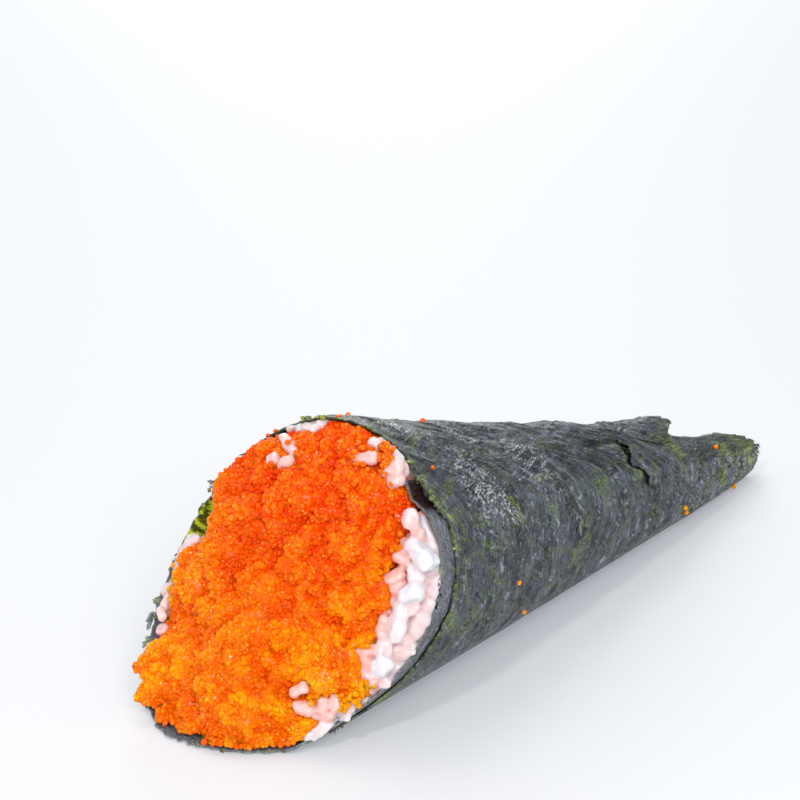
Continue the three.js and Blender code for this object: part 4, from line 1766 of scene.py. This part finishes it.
LAID_GRAINS = tuple(
    LaidGrain(*row)
    for row in (
        (-13.9, 44.5, -8.4, 43.2, 2.2, 0.5), (-13.8, 40.6, -11.7, 42.1, 2.0, 0.6),
        (-10.6, 41.1, -7.9, 42.4, 2.0, 0.7), (-10.6, 46.6, -7.3, 46.8, 1.6, 0.3),
        (5.2, 45.4, 10.3, 46.8, 2.0, 0.6, 0.4), (11.6, 44.3, 15.6, 46.4, 2.2, 0.55, 0.5),
        (11.5, 46.0, 14.9, 46.6, 1.7, 0.5), (13.6, 43.2, 16.2, 44.5, 2.0, 0.6, 0.3),
        (6.6, 48.4, 9.8, 47.8, 1.6, 0.4), (19.4, 39.9, 19.6, 36.6, 2.4, 0.5, 0.6),
        (20.3, 36.0, 22.6, 35.8, 2.0, 0.7, 0.2), (20.1, 34.9, 23.4, 32.3, 2.8, 0.08, 0.9),
        (23.0, 30.8, 25.0, 33.5, 3.2, 0.0, 1.3), (17.9, 32.1, 21.4, 31.1, 2.3, 0.75, 0.3),
        (21.6, 31.3, 23.5, 28.1, 2.5, 0.2, 0.9), (17.6, 27.6, 20.7, 29.3, 2.3, 0.8, 0.3),
        (19.1, 26.1, 21.4, 27.4, 2.0, 0.8, 0.1), (21.5, 25.4, 24.6, 27.4, 3.0, 0.03, 1.2),
        (22.6, 22.9, 24.0, 24.8, 2.2, 0.45, 0.3), (21.7, 24.6, 22.3, 18.2, 2.5, 0.15, 0.9),
        (19.4, 21.9, 19.8, 18.4, 2.0, 0.75, 0.2), (21.0, 18.9, 20.8, 15.4, 2.4, 0.3, 0.4),
        (16.6, 16.3, 19.9, 16.3, 2.2, 0.8, 0.2), (18.2, 15.3, 21.0, 13.5, 2.3, 0.75, 0.2),
        (21.5, 13.2, 22.2, 15.9, 2.9, 0.0, 1.1), (18.7, 13.2, 21.8, 11.4, 2.1, 0.7, 0.3),
        (11.2, 10.3, 13.5, 11.7, 1.8, 0.8, 0.6), (11.8, 8.1, 15.2, 7.5, 2.2, 0.75, 0.5),
        (15.7, 9.9, 16.4, 7.1, 1.8, 0.75, 0.3), (16.8, 10.2, 18.5, 7.5, 1.7, 0.7, 0.2),
        (15.0, 6.4, 18.0, 7.0, 1.7, 0.75), (-26.0, 24.1, -23.2, 25.9, 1.4, 0.3),
        (-25.6, 23.1, -23.9, 19.8, 1.7, 0.45, 0.3), (-24.0, 20.1, -23.6, 17.4, 1.5, 0.5, 0.2),
        (-22.0, 16.5, -19.6, 15.2, 1.5, 0.5, 0.2), (-22.0, 12.1, -19.3, 12.6, 2.1, 0.6, 0.6),
    )
)


@dataclass
class Rice:
    """The rice inside the roll and the grains that show at the mouth."""

    fill: FillForm
    material: Material
    sides: int = 216
    laid: tuple[LaidGrain, ...] = LAID_GRAINS
    behind: float = 0.5
    voxel: float = 0.00022
    wall_bite: float = 0.4
    loose_size: tuple[float, float, float] = (2.9, 5.0, 2.5)
    bedded: float = 0.08
    longer: float = 1.14
    shortest: float = 1.25
    wider: float = 1.28
    deeper: float = 1.15

    def bed_mesh(self) -> GridMesh:
        """Works out the rice's closed form.

        Returns:
            The mesh, with "cover" 1 where loose grains lie.
        """
        fill, form = self.fill, self.fill.form
        angle = fill.lay.start + np.arange(self.sides) / self.sides * FULL_TURN
        step = fill.rice_step(angle)
        shares = [np.full_like(angle, 0.5), step, step + 0.02]
        shares += [mixed(step + 0.02, 1.0, part) for part in (0.25, 0.5, 0.75, 1.0)]
        rings = [fill.rice_front(share, angle) for share in shares]
        taper = [form.tip_y - distance for distance in fill.taper_stations]
        rim_y = rings[-1][:, 1]
        for depth in (0.04, 0.33, 0.67, 1.0):
            rings.append(fill.point(1.0, angle, mixed(rim_y, taper[0], depth)))
        rings += [fill.point(1.0, angle, np.full_like(angle, y)) for y in taper[1:]]
        first = fill.point(0.0, 0.0, form.mouth_y(0.0, 0.0) + fill.roe_depth)
        last = fill.point(0.0, 0.0, taper[-1] + 1.5)
        mesh = ringed_solid(first, rings, last)
        strip = eased(fill.rice_share(angle), 0.03, 0.08)
        cover = (strip * (2 <= ring <= 6) for ring in range(len(rings)))
        depth = np.clip((np.arange(len(rings)) - 2.0) / 4.0, 0.0, 1.0)
        pink = (np.full(self.sides, part) for part in mixed(0.9, 0.2, depth))
        mesh.values = {
            "cover": np.concatenate([[0.0], *cover, [0.0]]),
            "pink": np.concatenate([[0.8], *pink, [0.2]]),
        }
        return mesh

    def bed(self) -> Piece:
        """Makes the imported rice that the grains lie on.

        Returns:
            The piece.
        """
        piece = self.bed_mesh().piece("rice_bed")
        piece.data.materials.append(self.material)
        return fitted(smooth(piece, 50.0), "rice")

    def inside_wall(self, piece: Piece) -> Piece:
        """Holds the points behind the sheet's edge inside the filling's wall.

        Args:
            piece: The grains.

        Returns:
            The piece.
        """
        fill, form = self.fill, self.fill.form
        spots = points_of(piece).astype(float) / MM
        y = spots[:, 1]
        angle = from_middle(form, *spots.T)[1]
        middle = np.stack([np.zeros_like(y), y, form.height(y) / 2.0], axis=-1)
        wall = form.point(angle, y, fill.inset(angle, y) - self.wall_bite)
        reach = np.maximum(np.linalg.norm(spots - middle, axis=-1), 1e-6)
        room = np.linalg.norm(wall - middle, axis=-1) / reach
        held = y > fill.lay.front(np.mod(fill.lay.start - angle, FULL_TURN)) + 0.2
        share = np.where(held, np.minimum(1.0, room), 1.0)
        move_points(piece, mixed(middle, spots, share[:, None]) * MM)
        return piece

    def loose_grains(self, tree: Tree) -> Piece:
        """Makes the loose grains of the strips.

        Args:
            tree: The tree that strews them.

        Returns:
            The piece.
        """
        sizes = {
            "Shape": smooth(grain_shape()),
            "Size": self.loose_size,
            "Spacing": 0.0018,
            "Density": 1.6e6,
            "Uneven": 0.18,
            "Lowest": -0.0002,
            "Highest": 0.0006,
            "Tilt": 0.3,
            "Lumps": 0.0014,
            "Seed": 5,
            "Finish": self.material,
        }
        return self.inside_wall(grown(self.bed_mesh().piece("strips"), tree, "loose_grains", sizes))

    def laid_grains(self, tree: Tree) -> Piece:
        """Makes the grains whose places are known.

        Args:
            tree: The tree that lays them.

        Returns:
            The piece.
        """
        x_from, z_from, x_to, z_to, width, pink, lift = np.array([astuple(grain) for grain in self.laid]).T
        start = mouth_point(self.fill.form, x_from, z_from)
        end = mouth_point(self.fill.form, x_to, z_to)
        middle = (start + end) / 2.0
        on_rice = middle[:, 1] + self.behind - lift
        on_roe = self.fill.roe_surface(middle[:, 0], middle[:, 2]) - self.bedded * width
        middle[:, 1] = np.minimum(on_rice, on_roe)
        axis = end - start
        length = np.maximum(np.linalg.norm(axis, axis=-1) * self.longer, width * self.shortest)
        size = np.stack([width * self.wider, length, width * self.deeper], axis=-1)
        tone = np.random.default_rng(31).uniform(0.0, 0.6, len(width))
        values = {"axis": axis, "size": size, "pink": pink, "tone": tone}
        points = GridMesh(middle, [], values).piece("grain_places")
        sizes = {"Shape": smooth(grain_shape(16, 14)), "Lumps": 0.0016, "Finish": self.material}
        return self.inside_wall(grown(points, tree, "laid_grains", sizes))

    def grains(self, strewing: Tree, laying: Tree) -> Piece:
        """Makes the sticky mass of all the grains that show.

        Args:
            strewing: The tree that strews the loose grains.
            laying: The tree that lays the others.

        Returns:
            The piece.
        """
        laid = self.laid_grains(laying)
        made = fused(laid, self.loose_grains(strewing), "rice_grains", self.voxel, 2, self.material)
        return fitted(smooth(made), "rice")


def from_middle(form: RollForm, x: Array, y: Array, z: Array) -> tuple[Array, Array]:
    """Finds where places lie in the roll's sections.

    Args:
        form: The roll's form.
        x: Their places across.
        y: Their places along.
        z: Their places up.

    Returns:
        The share of the way from the middle to the outline, and the angle.
    """
    half = form.height(y) / 2.0
    rise = (z - half) / np.where(z > half, half, half * (1.0 + 2.0 * form.base_sink))
    across = x / form.half_width(y)
    return np.hypot(rise, across), np.arctan2(rise, across)


def mouth_point(form: RollForm, x: Array, z: Array) -> Array:
    """Finds points of the mouth's surface.

    Args:
        form: The roll's form.
        x: Their places across.
        z: Their places up.

    Returns:
        The points.
    """
    y = np.full_like(x, form.rim_y)
    for _ in range(MOUTH_STEPS):
        y = form.mouth_y(*from_middle(form, x, y, z))
    return np.stack([x, y, z], axis=-1)


def from_line(spot: Array, start: Array, end: Array, short: float = 0.0) -> Array:
    """Works out how far places are from a straight line.

    Args:
        spot: The places, across and up in the last axis.
        start: The line's one end.
        end: Its other end.
        short: The share that is cut off at either end.

    Returns:
        The distances.
    """
    run = end - start
    share = np.clip(((spot - start) @ run) / (run @ run), short, 1.0 - short)
    return np.linalg.norm(spot - (start + share[..., None] * run), axis=-1)


def grain_nearness(x: Array, z: Array) -> Array:
    """Works out how near places are to the laid grains.

    Args:
        x: Places across the mouth.
        z: Places up.

    Returns:
        1 on a grain's middle line, 0 from its side on.
    """
    spot = np.stack([x, z], axis=-1)
    nearest = np.zeros_like(x)
    for grain in LAID_GRAINS:
        ends = np.array([grain.x_from, grain.z_from]), np.array([grain.x_to, grain.z_to])
        apart = from_line(spot, *ends, 0.1)
        nearest = np.maximum(nearest, 1.0 - apart / (0.5 * grain.width))
    return nearest


CREVICES = (
    ((-3.6, 48.9), (-1.2, 46.7), (1.8, 43.3), (4.4, 40.7), (6.3, 39.9)),
    ((0.0, 33.3), (0.5, 34.9), (3.1, 40.0)),
    ((-8.1, 30.0), (-6.6, 31.3)),
    ((-8.7, 22.3), (-7.6, 23.9), (-8.4, 28.8)),
    ((11.2, 28.3), (13.2, 30.2)),
    ((7.7, 25.3), (11.3, 22.3), (14.0, 21.1)),
    ((1.0, 5.2), (5.0, 3.8), (7.2, 1.7)),
    ((-13.2, 4.5), (-8.6, 3.8)),
    ((-6.6, 5.5), (-5.0, 7.9)),
    ((10.3, 9.3), (9.8, 11.3)),
    ((5.5, 12.5), (7.5, 15.9)),
    ((14.0, 34.4), (15.0, 37.5)),
    ((-1.7, 27.5), (-0.5, 30.9)),
    ((-7.0, 16.3), (-3.6, 19.8)),
    ((8.1, 6.2), (11.3, 3.3)),
    ((-2.4, 0.6), (-0.6, 3.6)),
    ((3.4, 0.8), (3.0, 2.6)),
    ((-9.4, 0.9), (-7.4, 2.8)),
    ((8.6, 2.0), (8.0, 4.4)),
    ((-17.0, 1.6), (-15.2, 3.2)),
)


@dataclass
class Roe:
    """The heap of roe and the eggs that have come off it."""

    fill: FillForm
    materials: dict[RoeTone, Material]
    egg: float = 1.0
    sides: int = 220
    rings: int = 50
    crevice_width: float = 0.75
    smallest: int = 3
    on_sheet: tuple[tuple[float, float], ...] = (
        (99, 136), (102, 132), (101, 112), (52, 133), (53, 24), (-9, 117), (-32, 110), (-16, 45),
        (-25, 43), (-36, 17), (133, 138), (137, 138.6), (198, 157), (204, 160),
    )
    on_rice: tuple[tuple[float, float], ...] = ((13.4, 44.6), (15.0, 43.2), (19.0, 35.6), (12.5, 46.3))
    clusters: tuple[tuple[float, float, int, float, float], ...] = (
        (11.4, 47.8, 34, 0.9, 0.8), (12.8, 46.6, 20, 0.7, 1.0), (-23.4, 20.4, 22, 0.7, 0.6),
        (-22.6, 17.9, 22, 0.7, 0.8), (-24.6, 22.4, 10, 0.5, 0.8), (21.0, 11.8, 10, 0.5, 0.6),
        (14.0, 13.0, 16, 0.9, 1.6), (-12.2, 42.0, 14, 0.9, 2.4), (-10.6, 44.0, 8, 0.6, 2.2),
        (8.6, 44.6, 10, 0.8, 2.4), (6.0, 46.8, 8, 0.6, 2.0), (13.6, 9.6, 10, 0.7, 2.6),
        (17.6, 29.8, 8, 0.5, 1.6), (18.4, 33.6, 8, 0.5, 1.6), (20.2, 10.4, 22, 0.8, 1.4),
        (18.6, 8.6, 18, 0.7, 1.4),
    )

    def crevice(self, x: Array, z: Array) -> Array:
        """Works out how deep in a crevice places are.

        Args:
            x: Places across the mouth.
            z: Places up.

        Returns:
            Their depths, from 0 to 1.
        """
        spot = np.stack([x, z], axis=-1)
        deepest = np.zeros_like(x)
        for line in CREVICES:
            for start, end in zip(np.array(line[:-1]), np.array(line[1:])):
                apart = from_line(spot, start, end) / self.crevice_width
                deepest = np.maximum(deepest, np.exp(-(apart**2)))
        return deepest

    def bed_mesh(self) -> GridMesh:
        """Works out the heap under its outer eggs.

        Returns:
            The mesh, with the values that the trees read.
        """
        fill = self.fill
        angle = fill.lay.start + np.arange(self.sides) / self.sides * FULL_TURN
        reach = fill.roe_reach(angle)
        under = self.egg * 0.4
        shares = ((np.arange(self.rings) + 1) / self.rings) ** 0.8
        rings, swell, cover = [], [], []
        for share in shares:
            ring = fill.roe_front(share * reach, angle)
            pressed = grain_nearness(ring[:, 0], ring[:, 2])
            pulled_back = 1.6 * eased(share, 0.9, 1.0) * eased(1.0 - reach, 0.02, 0.1)
            ring[:, 1] += under + pulled_back + 0.7 * eased(pressed, 0.0, 0.5)
            rings.append(ring)
            swell.append((1.0 - 0.7 * eased(share, 0.93, 1.0)) * (1.0 - eased(pressed, 0.0, 0.3)))
            cover.append(1.0 * (pressed < 0.7))
        rim_y = rings[-1][:, 1]
        inner = np.minimum(reach, 0.97)
        back = fill.roe_depth - 1.5
        for share, depth, covered in ((1.0, 2.4, 1.0), (1.0, back, 0.0), (0.55, back, 0.0)):
            behind = fill.form.mouth_y(share * inner, angle) + depth
            y = np.maximum(rim_y + 0.4, behind) if share == 1.0 else behind
            rings.append(fill.point(share * inner, angle, y))
            swell.append(np.zeros_like(angle))
            cover.append(np.full_like(angle, covered))
        first = fill.roe_front(0.0, 0.0) + np.array([0.0, under, 0.0])
        last = fill.point(0.0, 0.0, fill.form.mouth_y(0.0, 0.0) + back)
        mesh = ringed_solid(first, rings, last)
        mesh.values = {
            "swell": np.concatenate([[1.0], *swell, [0.0]]),
            "cover": np.concatenate([[1.0], *cover, [0.0]]),
            "crevice": self.crevice(mesh.points[:, 0], mesh.points[:, 2]),
        }
        return mesh

    def heap(self, tree: Tree, name: str) -> Piece:
        """Makes the lumpy heap.

        Args:
            tree: The tree that gives it lumps.
            name: The object's name.

        Returns:
            The object, not yet a finished piece.
        """
        finish = self.materials[RoeTone.ORANGE]
        sizes = {"Clump": 0.0034, "Knob": 0.0021, "Crevice": 0.0014, "Finish": finish}
        return smooth(grown(self.bed_mesh().piece("heap_blank"), tree, name, sizes))

    def eggs(self, lumps: Tree, strewing: Tree, tone: RoeTone) -> Piece:
        """Makes the heap's eggs of one tone.

        Args:
            lumps: The tree that gives the heap its lumps.
            strewing: The tree that strews the eggs.
            tone: Which of the tones.

        Returns:
            The piece.
        """
        kinds = list(RoeTone)
        sizes = {
            "Shape": egg_shape(),
            "Size": (self.egg, self.egg, self.egg),
            "Spacing": 0.0006,
            "Density": 9e6,
            "Uneven": 0.25,
            "Lowest": -0.00055,
            "Highest": 0.00014,
            "Tilt": 3.0,
            "Kinds": len(kinds),
            "Kind": kinds.index(tone),
            "Seed": 77,
            "Finish": self.materials[tone],
        }
        heap = self.heap(lumps, "strewn_heap")
        return fitted(smooth(grown(heap, strewing, f"roe_eggs_{tone.name.lower()}", sizes)), "roe")

    def stray_eggs(self, tree: Tree) -> Piece:
        """Makes the single eggs on the sheet and the single and clumped ones on the rice.

        Args:
            tree: The tree that lays them.

        Returns:
            The piece.
        """
        form, lay = self.fill.form, self.fill.lay
        angle = np.radians([place[0] for place in self.on_sheet])
        y = form.tip_y - np.array([place[1] for place in self.on_sheet])
        first = np.mod(lay.start - angle, FULL_TURN)
        turn = np.where(first + FULL_TURN > lay.total, first, first + FULL_TURN)
        outside = form.point(angle, y, lay.inset(turn, y) - 0.42)
        spots = np.array(self.on_rice)
        inside = mouth_point(form, spots[:, 0], spots[:, 1]) + np.array([0.0, -1.2, 0.3])
        random = np.random.default_rng(9)
        lobes = np.array(
            [[x, z, spread, rise] for x, z, count, spread, rise in self.clusters for _ in range(count)]
        )
        across, up = lobes[:, :2].T + random.normal(0.0, 1.0, (2, len(lobes))) * lobes[:, 2]
        raised = lobes[:, 3] * random.uniform(0.0, 1.6, len(lobes))
        clumped = mouth_point(form, across, up) - raised[:, None] * np.array([0.0, 1.0, 0.0])
        places = np.concatenate([outside, inside, clumped])
        size = np.repeat(self.egg * random.uniform(0.95, 1.15, len(places))[:, None], 3, axis=1)
        size[self.smallest] *= 0.7
        values = {
            "axis": random.uniform(-1.0, 1.0, places.shape),
            "size": size,
            "tone": random.uniform(0.0, 1.0, len(places)),
            "valley": random.uniform(0.0, 0.6, len(places)),
        }
        points = GridMesh(places, [], values).piece("egg_places")
        sizes = {"Shape": egg_shape(), "Finish": self.materials[RoeTone.AMBER]}
        return fitted(smooth(grown(points, tree, "roe_stray_eggs", sizes)), "roe")


@dataclass(frozen=True)
class Softbox:
    """A square soft light: its name, place, side, power in watts and colour."""

    name: str
    place: tuple[float, float, float]
    side: float
    power: float
    colour: Colour


@dataclass
class Studio:
    """The pale floor, the soft light and the camera."""

    eye: tuple[float, float, float] = (0.26943, -0.3481, 0.19989)
    target: tuple[float, float, float] = (-0.08187, 0.0622, 0.00465)
    lens: float = 108.0
    sensor: float = 36.0
    seen: tuple[float, float] = (0.01, 20.0)
    floor_side: float = 6.0
    sky: Colour = (0.84, 0.9, 1.0)
    sky_strength: float = 0.64
    lit_place: tuple[float, float, float] = (0.0, -0.02, 0.02)
    lamps: tuple[Softbox, ...] = (
        Softbox("key", (-0.65, 0.4, 1.25), 0.7, 6.0, (1.0, 0.96, 0.92)),
        Softbox("low", (-0.85, 0.95, 0.42), 0.4, 3.5, (1.0, 0.98, 0.96)),
        Softbox("fill", (0.68, -0.6, 0.6), 0.5, 7.0, (1.0, 0.98, 0.96)),
        Softbox("spark", (0.22, -0.78, 0.8), 0.1, 3.0, (1.0, 0.97, 0.94)),
    )

    def floor(self) -> Piece:
        """Makes the floor.

        Returns:
            The floor.
        """
        half = self.floor_side / 2.0 / MM
        corners = np.array([[-half, -half, 0.0], [half, -half, 0.0], [half, half, 0.0], [-half, half, 0.0]])
        piece = GridMesh(corners, [(0, 1, 2, 3)]).piece("floor")
        piece.data.materials.append(FloorFinish().material())
        piece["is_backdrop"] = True
        return piece

    def camera(self) -> None:
        """Makes the camera and looks at the roll."""
        data = bpy.data.cameras.new("camera")
        data.lens = self.lens
        data.sensor_width = self.sensor
        data.clip_start, data.clip_end = self.seen
        obj = linked("camera", data)
        obj.location = self.eye
        obj.rotation_euler = (Vector(self.target) - Vector(self.eye)).to_track_quat("-Z", "Y").to_euler()
        bpy.context.scene.camera = obj

    def lights(self) -> None:
        """Adds the surrounding light and the soft lights, which all face the roll."""
        world = bpy.data.worlds.new("studio")
        world.use_nodes = True
        sky = next(node for node in world.node_tree.nodes if node.type == "BACKGROUND")
        sky.inputs["Color"].default_value = (*self.sky, 1.0)
        sky.inputs["Strength"].default_value = self.sky_strength
        bpy.context.scene.world = world
        for lamp in self.lamps:
            data = bpy.data.lights.new(lamp.name, "AREA")
            data.shape = "SQUARE"
            data.size = lamp.side
            data.energy = lamp.power
            data.color = lamp.colour
            obj = linked(lamp.name, data)
            obj.location = lamp.place
            aim = Vector(self.lit_place) - Vector(lamp.place)
            obj.rotation_euler = aim.to_track_quat("-Z", "Y").to_euler()

    def build(self) -> None:
        """Builds the whole studio."""
        self.floor()
        self.camera()
        self.lights()
        bpy.context.scene.view_settings.view_transform = "Standard"


def corners() -> list[list[float]]:
    """Returns the shown object's lowest and highest corner as plain lists."""
    return [[float(part) for part in corner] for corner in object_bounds()]


def main() -> None:
    """Builds the hand roll and its studio."""
    logging.basicConfig(level=logging.INFO, format="%(message)s")
    lay = SheetLay(RollForm())
    fill = FillForm(lay)
    wrinkles, lumps, strewing, laying = wrinkle_tree(), heap_tree(), scatter_tree(), placed_tree()
    seaweed = Seaweed(lay, SeaweedFinish().material(), wrinkles)
    seaweed.sheet("nori_inner_turn", -lay.lead, math.radians(125), 96)
    seaweed.sheet("nori_outer_turn", math.radians(125), lay.total, 256)
    seaweed.torn()
    seaweed.crack_lip()
    seaweed.shreds(strewing)
    seaweed.ragged_tufts(laying)
    rice = Rice(fill, RiceFinish().material())
    rice.bed()
    rice.grains(strewing, laying)
    roe = Roe(fill, {tone: RoeFinish(tone).material() for tone in RoeTone})
    fitted(roe.heap(lumps, "roe_heap"), "roe")
    for tone in RoeTone:
        roe.eggs(lumps, strewing, tone)
    roe.stray_eggs(laying)
    Studio().build()


if __name__ == "__main__":
    main()
